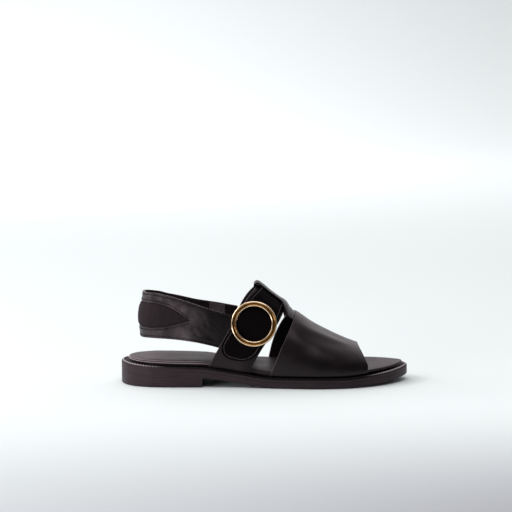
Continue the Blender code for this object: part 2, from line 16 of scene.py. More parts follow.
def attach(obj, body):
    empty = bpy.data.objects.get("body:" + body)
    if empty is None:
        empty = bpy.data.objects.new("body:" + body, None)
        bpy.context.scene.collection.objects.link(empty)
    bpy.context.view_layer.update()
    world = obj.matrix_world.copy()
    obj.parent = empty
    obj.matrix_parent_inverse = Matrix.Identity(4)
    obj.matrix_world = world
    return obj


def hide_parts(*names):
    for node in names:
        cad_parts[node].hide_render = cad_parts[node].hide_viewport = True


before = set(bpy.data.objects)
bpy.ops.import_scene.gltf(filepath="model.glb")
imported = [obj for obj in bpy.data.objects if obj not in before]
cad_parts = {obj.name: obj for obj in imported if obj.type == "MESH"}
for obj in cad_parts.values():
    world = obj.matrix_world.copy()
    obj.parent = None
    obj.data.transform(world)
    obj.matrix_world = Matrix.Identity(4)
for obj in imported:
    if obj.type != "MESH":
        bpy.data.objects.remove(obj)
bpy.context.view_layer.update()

bl_info = {
    "name": "Slingback sandal finish",
    "version": (1, 0, 0),
    "blender": (4, 5, 0),
    "location": "View3D > Sidebar > Sandal",
    "description": "Dresses the packed sandal in leather, stitching, elastic and metal, and lights it",
    "category": "Add Mesh",
}

MM = 0.001
GAP = 0.3  # clearance between pieces that lie on each other

# Sole
LENGTH = 264.0
OUTSOLE = 5.2
WELT = 3.3
WELT_WIDTH = 13.0
HEEL_LENGTH = 75.0
ROUND_FADE = 6.0  # length over which the outsole's rounded edge begins at the heel's breast
FINE_STATIONS = 400
WELT_POINTS = 641  # points along each side of the welt's outline
FOOTBED_SIDE_INSET = 5.6
FOOTBED_END_INSET = 6.7
MEDIAL_REACH = 34.0  # the sole's middle line stops this far from its two ends

# How much further the footbed reaches towards the two ends
Reach = namedtuple("Reach", "station extra")
FOOTBED_REACH = [
    Reach(0, 0.4),
    Reach(6, 0.4),
    Reach(30, 0.0),
    Reach(232, 0.0),
    Reach(250, 2.4),
    Reach(264, 2.4),
]

# Share of its rim's full height that the footbed has along its outer and its inner side
Pad = namedtuple("Pad", "station outer inner")
PAD_HALF_WIDTH = 30.0
FOOTBED_PAD = [
    Pad(0, 0.55, 0.55),
    Pad(14, 0.65, 0.75),
    Pad(34, 0.85, 1.05),
    Pad(60, 0.85, 1.12),
    Pad(85, 0.9, 1.05),
    Pad(110, 0.9, 1.3),
    Pad(128, 0.9, 1.65),
    Pad(145, 0.88, 1.7),
    Pad(165, 0.87, 1.2),
    Pad(200, 0.85, 1.05),
    Pad(226, 0.62, 1.08),
    Pad(242, 0.5, 0.78),
    Pad(254, 0.45, 0.5),
    Pad(264, 0.4, 0.4),
]

# Upper
VAMP = 1.8
STRAP = 1.6
SLING = 2.0
SLING_INSIDE = 1.2
GORE = 1.0
GORE_LIFT = -0.7
GORE_BULGE = 2.3
GORE_ROUND = 2.4  # power of the bulge's round shoulder
GORE_FULL = 8.0  # half height of the window from which the elastic bulges fully
GORE_TUCK = 1.6  # how far the elastic runs in behind the window's edge
GORE_TRENCH = 0.9  # width of the groove along the window's edge before the elastic swells
GORE_TRENCH_DEPTH = 0.9
TURN = 1.0  # radius of the turn at the upper's lower edge
TUCK = 6.5  # how far the upper runs in under the footbed
CREASE_STOP = 0.12  # girth above the lower edge within which the vamp's creases fade
EDGE_FADE = 0.8  # distance from a cut edge within which creases and dips fade
WALL_POWER = 2.3  # roundness of the last's wall
STATION_STEP = 0.2  # steps over which the slopes of the last are taken
GIRTH_STEP = 0.002

# Girth marks where the last's wall, its turn and its tuck end
WALL_END = 1.0
TURN_END = 1.15
TUCK_END = 1.3

# Buckle and strap end
RING_RADIUS = 18.3
RING_BAND = 4.9
RING_THICK = 3.4
RING_RISE = 0.566
RING_LIFT = 5.6
GROOVE_SHARE = 0.265  # half width of the ring's groove, as a share of its band
GROOVE_EDGE = 1.02  # faces within this share of that half width are painted the groove's darker gilt, as painted shade
BAR_THICK = 0.9
BAR_WIDTH = 3.0
BAR_HALF_LENGTH = 20.0
BAR_ROUND = 0.2
POST_WIDTH = 2.6
HUMP_REACH = 12.0
PINCH = 0.95
PINCH_REACH = 17.0
STRAP_END_ROUND = 13.5
STRAP_END_RISE = 0.10
STRAP_INNER_RISE = 0.03
STRAP_SAMPLES = 900

Plan = namedtuple("Plan", "station middle half_width")
SOLE_PLAN = [
    Plan(0, 0.0, 0.0),
    Plan(3, 0.0, 13.4),
    Plan(8, 0.0, 21.2),
    Plan(16, -0.1, 27.6),
    Plan(30, -0.3, 32.2),
    Plan(48, -0.8, 33.4),
    Plan(72, -1.6, 33.0),
    Plan(96, -2.2, 33.6),
    Plan(120, -2.2, 36.4),
    Plan(145, -1.7, 40.8),
    Plan(165, -1.0, 44.2),
    Plan(183, -0.2, 46.0),
    Plan(201, 1.0, 45.4),
    Plan(219, 3.0, 41.8),
    Plan(235, 5.0, 35.6),
    Plan(247.6, 6.6, 27.4),
    Plan(255.8, 7.6, 19.2),
    Plan(261, 8.2, 11.6),
    Plan(264, 8.5, 0.0),
]
SQUARED_PLAN = [Plan(p.station, p.middle, p.half_width**2) for p in SOLE_PLAN]

Profile = namedtuple("Profile", "station height")
SOLE_UNDERSIDE = [
    Profile(0, 12.1),
    Profile(14, 10.9),
    Profile(30, 9.9),
    Profile(48, 9.3),
    Profile(75, 8.7),
    Profile(95, 6.1),
    Profile(113, 3.3),
    Profile(130, 0.8),
    Profile(144, 0.0),
    Profile(204, 0.0),
    Profile(222, 0.9),
    Profile(242, 2.75),
    Profile(264, 5.6),
]

Crest = namedtuple("Crest", "station ridge_middle ridge_height")
LAST_RIDGE = [
    Crest(0, 0.0, 150.0),
    Crest(60, 0.0, 150.0),
    Crest(75, 0.5, 135.0),
    Crest(90, 1.0, 115.0),
    Crest(100, 1.5, 104.4),
    Crest(111, 2.0, 96.4),
    Crest(122.6, 2.5, 89.4),
    Crest(128, 2.7, 85.5),
    Crest(133.6, 3.0, 80.7),
    Crest(140, 3.3, 75.8),
    Crest(145, 3.6, 72.0),
    Crest(153, 4.0, 66.9),
    Crest(161, 4.5, 62.5),
    Crest(175, 5.5, 52.6),
    Crest(186, 6.3, 46.4),
    Crest(197, 7.0, 40.8),
    Crest(208, 7.6, 35.8),
    Crest(216, 8.0, 32.7),
    Crest(231, 8.5, 26.6),
    Crest(264, 8.5, 18.5),
]

# Edges of the bands that lie on the last, by their share of the last's height
Band = namedtuple("Band", "rise rear front")
VAMP_OUTER = [
    Band(0.0, 137.5, 224.8),
    Band(0.3, 144.5, 225.1),
    Band(0.6, 151.6, 223.0),
    Band(0.85, 157.0, 220.2),
    Band(1.0, 160.1, 217.8),
]
VAMP_INNER = [
    Band(0.0, 135.1, 224.9),
    Band(0.3, 139.5, 224.0),
    Band(0.6, 146.1, 221.4),
    Band(0.85, 153.5, 218.7),
    Band(1.0, 160.1, 217.8),
]
INSTEP_STRAP = [
    Band(0.0, 81.9, 118.5),
    Band(0.2, 91.3, 125.5),
    Band(0.45, 101.7, 134.7),
    Band(0.75, 112.9, 144.2),
    Band(1.0, 124.4, 150.5),
]
CLOSING_STRAP = [
    Band(0.0, 82.9, 117.1),
    Band(0.2, 92.1, 124.1),
    Band(0.45, 102.7, 133.3),
    Band(0.75, 114.7, 142.7),
    Band(1.0, 126.9, 148.1),
]

# How much further forward the two straps' rear edges lie on the inner side, row by row
INNER_EASE = (4.2, 3.4, 1.8, 0.5, 0.0)
INSTEP_INNER = [Band(b.rise, b.rear + ease, b.front) for b, ease in zip(INSTEP_STRAP, INNER_EASE)]
CLOSING_INNER = [Band(b.rise, b.rear + ease, b.front) for b, ease in zip(CLOSING_STRAP, INNER_EASE)]

# Path of the loop along the ridge, measured to its face on the strap, and its width, which flares to the vamp
Fold = namedtuple("Fold", "step station lift half_width")
LOOP_UNDER_VAMP = [
    Fold(0, 175.0, -1.2, 22.0),
    Fold(1, 168.0, -1.2, 22.0),
    Fold(2, 162.4, -1.4, 22.0),
    Fold(3, 159.4, -1.0, 22.2),
    Fold(4, 156.9, -0.2, 22.8),
    Fold(5, 154.7, 0.8, 23.4),
    Fold(6, 152.9, 1.6, 23.8),
    Fold(7, 151.7, 2.4, 23.8),
    Fold(8, 150.5, 3.1, 23.0),
    Fold(9, 148.9, 3.8, 20.6),
    Fold(10, 146.9, 4.2, 16.4),
    Fold(11, 145.5, 4.2, 12.0),
    Fold(12, 144.1, 4.0, 9.2),
    Fold(13, 140.0, 3.8, 8.3),
    Fold(14, 129.0, 3.8, 8.3),
]
LOOP_FOLD_STATION = 124.5
LOOP_CLEAR = 0.6
LOOP_FOLD_RADIUS = 1.75
LOOP_RETURN_LIFT = 0.3
LOOP_RETURN_END = 142.0

# Heel sling: edges, and the window for its elastic gore, by distance along the shoe
SLING_FRONT = 107.0
SLING_BLEND = 81.0
WINDOW_TIP = 64.3
PATCH = (80.0, 95.0)  # stations of the second layer inside the sling's inner end
PATCH_RISE = (0.45, 0.975)  # shares of the sling's height that it covers
PATCH_THICK = 0.6
PATCH_CLEAR = 0.05
PATCH_COLUMNS = 17
PATCH_SEAMS = (1, 12, 15)  # columns along which it is sewn
Sling = namedtuple("Sling", "station bottom window_bottom window_top top inner_drop")
SLING_EDGES = [
    Sling(16, 43.1, 53.0, 75.6, 84.4, 0.0),
    Sling(28, 44.0, 53.3, 75.9, 85.0, 3.4),
    Sling(40, 43.8, 54.6, 73.6, 83.1, 4.6),
    Sling(51, 43.0, 56.8, 68.8, 80.4, 4.0),
    Sling(64.3, 41.2, 60.2, 60.2, 76.3, 2.7),
    Sling(77, 38.8, 56.6, 56.6, 72.2, 0.5),
    Sling(91, 35.4, 52.5, 52.5, 67.8, -1.9),
    Sling(107, 31.0, 48.0, 48.0, 63.8, -3.0),
]
HeelBack = namedtuple("HeelBack", "height station")
SLING_BACK = [
    HeelBack(40, 18.5),
    HeelBack(53, 17.4),
    HeelBack(66, 18.3),
    HeelBack(76, 19.6),
    HeelBack(86, 21.1),
]

OUTER, INNER = -1, 1

# Skin of each sole piece as (inset from the outline, height), from below over the edge
Skin = namedtuple("Skin", "inset height")
OUTSOLE_SKIN = [
    Skin(8.0, 0.0),
    Skin(6.3, 0.0),
    Skin(6.0, 0.55),
    Skin(5.2, 0.55),
    Skin(4.9, 0.0),
    Skin(1.7, 0.0),
    Skin(0.95, 0.06),
    Skin(0.45, 0.25),
    Skin(0.12, 0.6),
    Skin(0.0, 1.1),
    Skin(0.0, 2.4),
    Skin(0.0, 4.2),
    Skin(0.0, 5.35),
    Skin(0.06, 5.5),
    Skin(0.5, 5.5),
]
HEEL_SKIN = [
    Skin(2.2, 0.0),
    Skin(0.95, 0.06),
    Skin(0.45, 0.25),
    Skin(0.12, 0.6),
    Skin(0.0, 1.1),
]
WELT_SKIN = [
    Skin(13.0, 0.0),
    Skin(0.5, 0.0),
    Skin(0.06, 0.0),
    Skin(0.0, 0.15),
    Skin(0.0, 0.9),
    Skin(0.0, 1.9),
    Skin(0.05, 2.5),
    Skin(0.22, 2.95),
    Skin(0.55, 3.25),
    Skin(0.95, 3.3),
    Skin(1.15, 3.22),
    Skin(1.4, 3.05),
    Skin(1.9, 3.0),
    Skin(2.2, 3.15),
    Skin(2.6, 3.3),
    Skin(6.0, 3.3),
    Skin(13.0, 3.3),
]
WELT_SIDE = (0.06, 1.95)  # heights between which the welt's trimmed edge is inked with the sole's
WHEEL_INSET = 0.5  # middle and half width of the wheel's marks, which lie above a height
WHEEL_WIDTH = 0.6
WHEEL_ABOVE = 2.0
# The wrapped roll, the seam above it and the top cover's own rounded edge
FOOTBED_SKIN = [
    Skin(1.6, 0.0),
    Skin(0.8, 0.1),
    Skin(0.3, 0.3),
    Skin(0.03, 0.7),
    Skin(0.1, 1.05),
    Skin(0.45, 1.35),
    Skin(1.1, 1.55),
    Skin(1.9, 1.75),
    Skin(1.9, 2.15),
    Skin(1.1, 2.4),
    Skin(0.75, 2.6),
    Skin(0.78, 2.85),
    Skin(1.05, 3.15),
    Skin(1.55, 3.4),
    Skin(2.4, 3.58),
    Skin(4.0, 3.7),
    Skin(7.0, 3.8),
]
# Heights between the rim's bands, and each band's material: wrap, painted highlight along the roll, seam,
# painted highlight on the cover's rounded edge, cover
RIM_BAND_HEIGHTS = (0.65, 1.5, 2.35, 3.1)
RIM_MATERIALS = (1, 2, 1, 2, 0)
# Top of the footbed by its share from the middle line to the edge
Dish = namedtuple("Dish", "share drop heel_drop")
FOOTBED_DISH = [
    Dish(0.62, 0.05, 0.1),
    Dish(0.42, 0.15, 0.45),
    Dish(0.2, 0.3, 0.8),
    Dish(0.0, 0.35, 0.95),
]
DISH_END = 70.0  # the heel's deeper dish fades towards this station
DISH_FADE = 45.0

# Soft creases and ridges of the leather: two ends on the sheet's lay-out, bow, half width, lift
Crease = namedtuple("Crease", "from_along from_across to_along to_across bow width lift")
# Vamp lay-out: station, and distance from the ridge
VAMP_CREASES = [
    Crease(158, -27, 212, -20, -1.5, 5.0, 0.75),
    Crease(160, -35, 205, -30, -2.0, 6.0, -0.45),
    Crease(168, -12, 206, -13, 1.0, 7.0, -0.35),
    Crease(150, -58, 184, -47, 3.0, 5.5, -0.3),
    Crease(196, -52, 216, -36, 1.5, 5.0, -0.25),
    Crease(158, 27, 212, 22, 1.5, 5.0, 0.6),
    Crease(160, 36, 204, 31, 2.0, 6.0, -0.4),
    Crease(152, 58, 186, 48, -3.0, 5.5, -0.3),
]
# Sling lay-out: station with the side's sign, and height
SLING_CREASES = [
    Crease(-63, 67, -72, 72, 0.6, 2.2, -0.45),
    Crease(-65, 60, -77, 66, 0.8, 2.4, 0.4),
    Crease(-66, 57, -74, 44, 1.2, 2.2, -0.5),
    Crease(-58, 55, -63, 43, 1.0, 2.2, 0.45),
    Crease(-76, 56, -84, 62, 0.5, 2.6, -0.45),
    Crease(-78, 50, -88, 42, 0.5, 3.0, -0.45),
    Crease(-69, 71, -73, 62, 0.6, 1.7, 0.4),
    Crease(-74, 69, -78, 60, 0.5, 1.8, -0.4),
    Crease(-70, 55, -74, 47, 0.8, 1.7, 0.45),
    Crease(-80, 66, -84, 54, 0.6, 2.0, 0.35),
    Crease(-40, 79, -50, 74, 0.4, 2.0, -0.3),
    Crease(-44, 48, -54, 50, 0.6, 2.0, -0.3),
    Crease(63, 66, 73, 71, 0.6, 2.2, -0.4),
    Crease(65, 57, 74, 46, -1.0, 2.2, -0.45),
    Crease(58, 55, 64, 44, -1.0, 2.2, 0.35),
    Crease(77, 56, 86, 60, 0.5, 2.8, -0.3),
]
# Strap lay-out: distance from the rounded end, and from the middle line
STRAP_CREASES = [
    Crease(27, -15, 25, 14, 1.2, 2.4, -0.3),
    Crease(66, -13, 69, 14, 1.5, 3.0, -0.35),
    Crease(78, -14, 80, 13, -1.0, 2.6, 0.25),
]

STITCH_DIP = 0.32  # how deep a row of stitches pulls the leather in
STITCH_DIP_WIDTH = 0.8
STITCH_REACH = 0.4  # half the length over which a strand's direction is taken
THREAD_PROUD = 0.05  # height of the sling's thread over the leather
WELT_THREAD_PROUD = 0.2
STRAP_THREAD_SUNK = 0.1
STRAP_THREAD_STOP = 4.0  # where the strap's stitches begin, from its inner end
STRAP_STRAND = 0.95  # the strap's strand as a share of the pitch
STRAP_THREAD = 0.7  # thinner threads, as shares of the sling's
PATCH_THREAD = 0.8


def smooth(rows, column, at):
    """A table's column at any place of its first column, on a smooth curve that stays within its rows."""
    known = np.array([row[0] for row in rows], float)
    value = np.array([getattr(row, column) for row in rows], float)
    step = np.diff(known)
    slope = np.diff(value) / step
    tangent = np.concatenate([slope[:1], np.zeros(len(slope) - 1), slope[-1:]])
    same_way = slope[:-1] * slope[1:] > 0
    both = np.where(same_way, slope[:-1] + slope[1:], 1.0)
    tangent[1:-1] = np.where(same_way, 2 * slope[:-1] * slope[1:] / both, 0.0)
    at = np.clip(at, known[0], known[-1])
    i = np.clip(np.searchsorted(known, at, side="right") - 1, 0, len(step) - 1)
    t = (at - known[i]) / step[i]
    return (
        (1 + 2 * t) * (1 - t) ** 2 * value[i]
        + t * (1 - t) ** 2 * step[i] * tangent[i]
        + t**2 * (3 - 2 * t) * value[i + 1]
        + t**2 * (t - 1) * step[i] * tangent[i + 1]
    )


def outline(side_inset, end_inset, count, last_station=LENGTH, reach=0.0):
    """The sole's outline moved inwards: outer and inner edge as rows of (station, sideways), heel to toe.

    Reach is the share of the footbed's extra length at the two ends that is added.
    """
    turn = np.linspace(0, np.arccos(1 - 2 * last_station / LENGTH), count)
    station = LENGTH * (1 - np.cos(turn)) / 2
    middle = smooth(SOLE_PLAN, "middle", station)
    half = np.sqrt(np.maximum(smooth(SQUARED_PLAN, "half_width", station), 0))
    edges = []
    for side in (OUTER, INNER):
        edge = np.column_stack([station, middle + side * half])
        along = np.gradient(edge, axis=0)
        along[0] = (0, side)
        if last_station == LENGTH:
            along[-1] = (0, -side)
        along /= np.linalg.norm(along, axis=1)[:, None]
        outward = np.column_stack([-along[:, 1], along[:, 0]]) * side
        extra = reach * smooth(FOOTBED_REACH, "extra", station)[:, None]
        inset = side_inset + (end_inset - side_inset - extra) * np.abs(outward[:, :1])
        edges.append(edge - outward * inset)
    return edges


FINE_FOOTBED = outline(FOOTBED_SIDE_INSET - GAP, FOOTBED_END_INSET - GAP, FINE_STATIONS)
SOLE_EDGE = np.concatenate(outline(0, 0, FINE_STATIONS))
SOLE_MIDDLE = (SOLE_EDGE[:, 1].min() + SOLE_EDGE[:, 1].max()) / 2
ORIGIN = np.array([LENGTH / 2, SOLE_MIDDLE, 0.0])


def underside(station):
    return smooth(SOLE_UNDERSIDE, "height", station)


def welt_top(station):
    return underside(station) + OUTSOLE + GAP + WELT


def footbed_height(rim_height, station, sideways):
    """Height of a line of the footbed, which is thinner at its ends and along the toe's outer side."""
    aside = sideways - smooth(SOLE_PLAN, "middle", station)
    to_inner = np.clip(0.5 + aside / (2 * PAD_HALF_WIDTH), 0, 1)
    outer = smooth(FOOTBED_PAD, "outer", station)
    inner = smooth(FOOTBED_PAD, "inner", station)
    kept = outer * (1 - to_inner) + inner * to_inner
    return welt_top(station) + VAMP + 2 * GAP + rim_height * kept


def in_frame(points):
    """Points of the shoe, in millimetres, as points of the part's frame, in metres."""
    return (np.asarray(points, float) - ORIGIN) * MM


def footbed_edge(side, station):
    edge = FINE_FOOTBED[0 if side == OUTER else 1]
    return np.interp(station, edge[:, 0], edge[:, 1])


def rise_of(girth):
    """Share of the last's height at a girth mark: 0 along the footbed's edge and 1 on the ridge."""
    angle = np.clip(WALL_END - np.abs(girth), 0, 1) * np.pi / 2
    return np.sin(angle) ** (2 / WALL_POWER)


def girth_at_rise(side, rise):
    return side * (WALL_END - np.arcsin(np.clip(rise, 0, 1) ** (WALL_POWER / 2)) / (np.pi / 2))


def last(station, girth):
    """Points of the upper's inner face.

    Girth marks run across the foot: 0 on the ridge, -1 and 1 where the wall reaches the footbed's edge,
    and beyond that round the turn and in under the footbed.
    """
    station, girth = np.broadcast_arrays(np.asarray(station, float), np.asarray(girth, float))
    side = np.where(girth < 0, OUTER, INNER)
    edge = np.where(girth < 0, footbed_edge(OUTER, station), footbed_edge(INNER, station))
    base = welt_top(station) + GAP + VAMP + TURN
    ridge_middle = smooth(LAST_RIDGE, "ridge_middle", station)
    ridge_height = smooth(LAST_RIDGE, "ridge_height", station)
    mark = np.abs(girth)
    angle = np.clip(WALL_END - mark, 0, 1) * np.pi / 2
    wall_y = ridge_middle + (edge - ridge_middle) * np.cos(angle) ** (2 / WALL_POWER)
    wall_z = base + (ridge_height - base) * np.sin(angle) ** (2 / WALL_POWER)
    turn = np.clip((mark - WALL_END) / (TURN_END - WALL_END), 0, 1) * np.pi / 2
    tuck = np.clip((mark - TURN_END) / (TUCK_END - TURN_END), 0, 1) * TUCK
    below_y = edge - side * (TURN * (1 - np.cos(turn)) + tuck)
    below_z = base - TURN * np.sin(turn)
    on_wall = mark <= WALL_END
    across = np.where(on_wall, wall_y, below_y)
    height = np.where(on_wall, wall_z, below_z)
    return np.stack([station, across, height], axis=-1)


def raised(station, girth, lift):
    """Points of the last moved out along its surface's normal."""
    station, girth = np.broadcast_arrays(np.asarray(station, float), np.asarray(girth, float))
    along = last(station + STATION_STEP, girth) - last(station - STATION_STEP, girth)
    across = last(station, girth + GIRTH_STEP) - last(station, girth - GIRTH_STEP)
    normal = np.cross(along, across)
    normal /= np.linalg.norm(normal, axis=-1)[..., None]
    return last(station, girth) + normal * np.asarray(lift, float)[..., None]


def normals_of(points):
    """Unit normals of a grid of points, out of the side where columns turn into rows anticlockwise."""
    normal = np.cross(np.gradient(points, axis=1), np.gradient(points, axis=0))
    return normal / np.maximum(np.linalg.norm(normal, axis=2, keepdims=True), 1e-9)


def creased(along, across, creases):
    """How far soft creases and ridges lift each point of a sheet, by its place on the lay-out."""
    lift = np.zeros(np.broadcast(along, across).shape)
    for c in creases:
        run = np.array([c.to_along - c.from_along, c.to_across - c.from_across], float)
        length = np.hypot(*run)
        t = ((along - c.from_along) * run[0] + (across - c.from_across) * run[1]) / length**2
        aside = ((across - c.from_across) * run[0] - (along - c.from_along) * run[1]) / length
        aside = aside - c.bow * 4 * t * (1 - t)
        beyond = np.maximum(np.abs(t - 0.5) - 0.5, 0) * length
        fade = np.clip(1 - np.abs(2 * np.clip(t, 0, 1) - 1) ** 3, 0, 1)
        lift = lift + c.lift * fade * np.exp(-(aside**2 + beyond**2) / c.width**2)
    return lift


def pulled_in(distance, row):
    """Dip of the leather where a row of stitches runs this far from an edge."""
    return -STITCH_DIP * np.exp(-(((distance - row) / STITCH_DIP_WIDTH) ** 2))


def run_along(points, axis):
    """Lengths along a line of points, or along one axis of a grid of them, from its start."""
    step = np.linalg.norm(np.diff(points, axis=axis), axis=-1)
    start = np.zeros_like(np.take(step, [0], axis=axis))
    return np.concatenate([start, np.cumsum(step, axis=axis)], axis=axis)


def on_line(at, run, line):
    """The point, or the direction, of a line at a length along it."""
    return np.array([np.interp(at, run, line[:, k]) for k in range(3)])


def vertex_places(obj):
    co = np.zeros(len(obj.data.vertices) * 3)
    obj.data.vertices.foreach_get("co", co)
    return co.reshape(-1, 3)


def deselect():
    if bpy.context.object and bpy.context.object.mode != "OBJECT":
        bpy.ops.object.mode_set(mode="OBJECT")
    bpy.ops.object.select_all(action="DESELECT")


def select_only(obj):
    deselect()
    obj.select_set(True)
    bpy.context.view_layer.objects.active = obj


def edit_all(obj):
    select_only(obj)
    bpy.ops.object.mode_set(mode="EDIT")
    bpy.ops.mesh.select_all(action="SELECT")


def apply_modifier(obj, kind, **settings):
    select_only(obj)
    modifier = obj.modifiers.new(kind.lower(), kind)
    for name, value in settings.items():
        setattr(modifier, name, value)
    bpy.ops.object.modifier_apply(modifier=modifier.name)


def name_piece(obj, name):
    obj.name = name
    obj.data.name = name
    return obj


def lay_grid(name, points):
    """A flat grid laid on rows and columns of points, with a UV map of its lengths in millimetres."""
    rows, columns = points.shape[:2]
    deselect()
    bpy.ops.mesh.primitive_grid_add(x_subdivisions=columns - 1, y_subdivisions=rows - 1)
    obj = name_piece(bpy.context.object, name)
    obj.data.vertices.foreach_set("co", in_frame(points).ravel())
    u, v = run_along(points, 1), run_along(points, 0)
    corner = np.zeros(len(obj.data.loops), int)
    obj.data.loops.foreach_get("vertex_index", corner)
    uv = np.stack([u.ravel()[corner], v.ravel()[corner]], axis=1)
    obj.data.uv_layers.active.data.foreach_set("uv", uv.ravel())
    obj.data.update()
    return obj


def weld(obj, distance=1e-5):
    """Closes the seams and poles of a grid whose edges meet."""
    edit_all(obj)
    bpy.ops.mesh.remove_doubles(threshold=distance)
    bpy.ops.mesh.select_all(action="SELECT")
    bpy.ops.mesh.dissolve_degenerate(threshold=distance)
    bpy.ops.object.mode_set(mode="OBJECT")


def wall_up(obj, thickness, offset, edge_round, finishes):
    """Gives a sheet its wall, with its own materials for face, cut edge and lining, and rounds its edges."""
    for material in finishes:
        obj.data.materials.append(material)
    apply_modifier(
        obj,
        "SOLIDIFY",
        thickness=thickness * MM,
        offset=offset,
        use_even_offset=True,
        use_quality_normals=True,
        material_offset_rim=1,
        material_offset=2,
    )
    apply_modifier(
        obj,
        "BEVEL",
        width=edge_round * MM,
        segments=3,
        limit_method="ANGLE",
        angle_limit=math.radians(55),
        use_clamp_overlap=True,
    )
    select_only(obj)
    bpy.ops.object.shade_smooth()
    return obj


def seat(obj, slot, *nodes):
    """Puts a finished piece on the part's body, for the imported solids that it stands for."""
    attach(obj, "root")
    if nodes:
        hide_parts(*nodes)
    return obj


def linear(hex_colour):
    """An sRGB hex value as linear red, green and blue."""
    parts = [int(hex_colour[i : i + 2], 16) / 255 for i in (1, 3, 5)]
    return tuple(c / 12.92 if c <= 0.04045 else ((c + 0.055) / 1.055) ** 2.4 for c in parts)


def feed(tree, made, inputs):
    """Sets a node's inputs; each is a value, or another node's output to link."""
    for name, value in inputs.items():
        if isinstance(value, bpy.types.NodeSocket):
            tree.links.new(value, made.inputs[name])
        else:
            made.inputs[name].default_value = value


def node(tree, kind, inputs=None, **settings):
    """Adds a node with its settings and inputs."""
    made = tree.nodes.new(kind)
    for name, value in settings.items():
        setattr(made, name, value)
    feed(tree, made, inputs or {})
    return made


def per_mm(size):
    """Texture scale that gives a pattern of this size in millimetres on metre coordinates."""
    return 1000.0 / size


def noise(tree, spot, size, detail=2.0, roughness=0.5):
    """Cloudy noise of this size in millimetres."""
    inputs = {"Vector": spot, "Scale": per_mm(size), "Detail": detail, "Roughness": roughness}
    return node(tree, "ShaderNodeTexNoise", inputs).outputs["Fac"]


def mapped(tree, value, low, high, to_low=0.0, to_high=1.0, **settings):
    """A value whose range from low to high is stretched to another range."""
    limits = {"From Min": low, "From Max": high, "To Min": to_low, "To Max": to_high}
    return node(tree, "ShaderNodeMapRange", {"Value": value, **limits}, **settings).outputs["Result"]


def blend(tree, share, colour, second):
    """A colour that goes over into a second one by a share."""
    inputs = {"Factor": share, "A": (*colour, 1), "B": (*second, 1)}
    return node(tree, "ShaderNodeMix", inputs, data_type="RGBA").outputs["Result"]


def multiplied(tree, first, second):
    return node(tree, "ShaderNodeMath", {0: first, 1: second}, operation="MULTIPLY").outputs["Value"]


def bump(tree, height, strength, depth, under=None, **settings):
    """A relief of this depth in millimetres, laid over another one where that is given."""
    inputs = {"Height": height, "Strength": strength, "Distance": depth * MM}
    if under is not None:
        inputs["Normal"] = under
    return node(tree, "ShaderNodeBump", inputs, **settings).outputs["Normal"]


def new_material(name):
    material = bpy.data.materials.new(name)
    material.use_nodes = True
    tree = material.node_tree
    tree.nodes.clear()
    shader = node(tree, "ShaderNodeBsdfPrincipled")
    node(tree, "ShaderNodeOutputMaterial", {"Surface": shader.outputs["BSDF"]})
    place = node(tree, "ShaderNodeTexCoord")
    return material, tree, shader, place


# Grain widths are drawn two to three times as coarse as real leather's, so that they show in the picture.
# The gloss is the refractive index of the finish: dry, waxless leather scatters most of its mirror light
Leather = namedtuple("Leather", "grain depth pore rough rough_spread gloss coat coat_rough tone")
LEATHERS = {
    # Smooth full-grain calf, drum-dyed and lightly finished: tight grain, soft gloss, cloudy where handled
    "vamp_calf_leather": Leather(1.3, 0.035, 0.5, 0.35, 0.08, 1.34, 0.05, 0.30, 0.40),
    # Buffed calf, left dry: deep black that hardly mirrors
    "strap_buffed_calf": Leather(1.4, 0.03, 0.6, 0.52, 0.08, 1.08, 0.0, 0.3, 0.30),
    # Thin milled calf: pebbly grain and a dry face that scatters light to grey
    "sling_milled_calf": Leather(1.5, 0.12, 0.5, 0.40, 0.14, 1.33, 0.0, 0.5, 0.85),
    # Sheepskin sock over foam: silky, with long soft wrinkles and a grey sheen at low angles
    "footbed_sheepskin": Leather(2.2, 0.07, 0.6, 0.44, 0.10, 1.31, 0.0, 0.35, 0.35),
    # Bridle-finished calf of the loop: black, glazed smooth, so that only its shoulder shines
    "loop_glazed_calf": Leather(1.3, 0.02, 0.5, 0.25, 0.06, 1.19, 0.0, 0.3, 0.30),
    # Offcut of the milled calf with its paler flesh side out
    "patch_split_calf": Leather(1.5, 0.10, 0.5, 0.60, 0.10, 1.30, 0.0, 0.5, 0.60),
    # The same milled calf, darker, for the strap under the closing strap, with painted shade towards its
    # front
    "instep_milled_calf": Leather(1.5, 0.08, 0.5, 0.48, 0.12, 1.30, 0.0, 0.5, 0.45),
    # Wrap of the footbed's edge, skived thin and drawn tight over the board
    "footbed_wrap_leather": Leather(1.2, 0.03, 0.5, 0.46, 0.08, 1.30, 0.0, 0.5, 0.40),
    # Piping cord covered in thin leather, rubbed pale along its top
    # Pale leather for two bands of the footbed's rim: a painted highlight along its roll and its cover's
    # edge, fading to painted shade ahead of the heel
    "footbed_painted_highlight": Leather(1.2, 0.03, 0.5, 0.42, 0.08, 1.40, 0.0, 0.5, 0.50),
    # Flesh-side lining, dyed through: dull and fibrous
    "pigskin_lining": Leather(1.8, 0.08, 0.5, 0.66, 0.10, 1.25, 0.0, 0.5, 0.40),
    # Cut edge, sanded and painted with two coats: smoother and greyer than the face
    "painted_leather_edge": Leather(2.4, 0.03, 0.7, 0.42, 0.10, 1.40, 0.0, 0.5, 0.30),
    # Welting, cut from bark-tanned shoulder and waxed: coarse pebbled face
    "waxed_welt_leather": Leather(1.9, 0.20, 0.8, 0.55, 0.12, 1.18, 0.0, 0.5, 0.45),
}
SPECULAR_TINT = (1.0, 0.86, 0.92)  # aniline dye under the finish reddens what it mirrors
THREAD_PAINTED_LIGHT = (88.0, 116.0)  # distances from the shoe's middle where the welt's thread begins to turn pale as painted light, and is fully pale
PAPER_SHADE_FORWARD = (-0.10, -0.55)  # metres in front of the shoe over which painted shade turns the paper grey
PAPER_SHADE_ACROSS = (-0.3, 0.3)  # metres across, over which that painted shade grows from its left share to full
PAPER_SHADE_LEFT_SHARE = 0.38

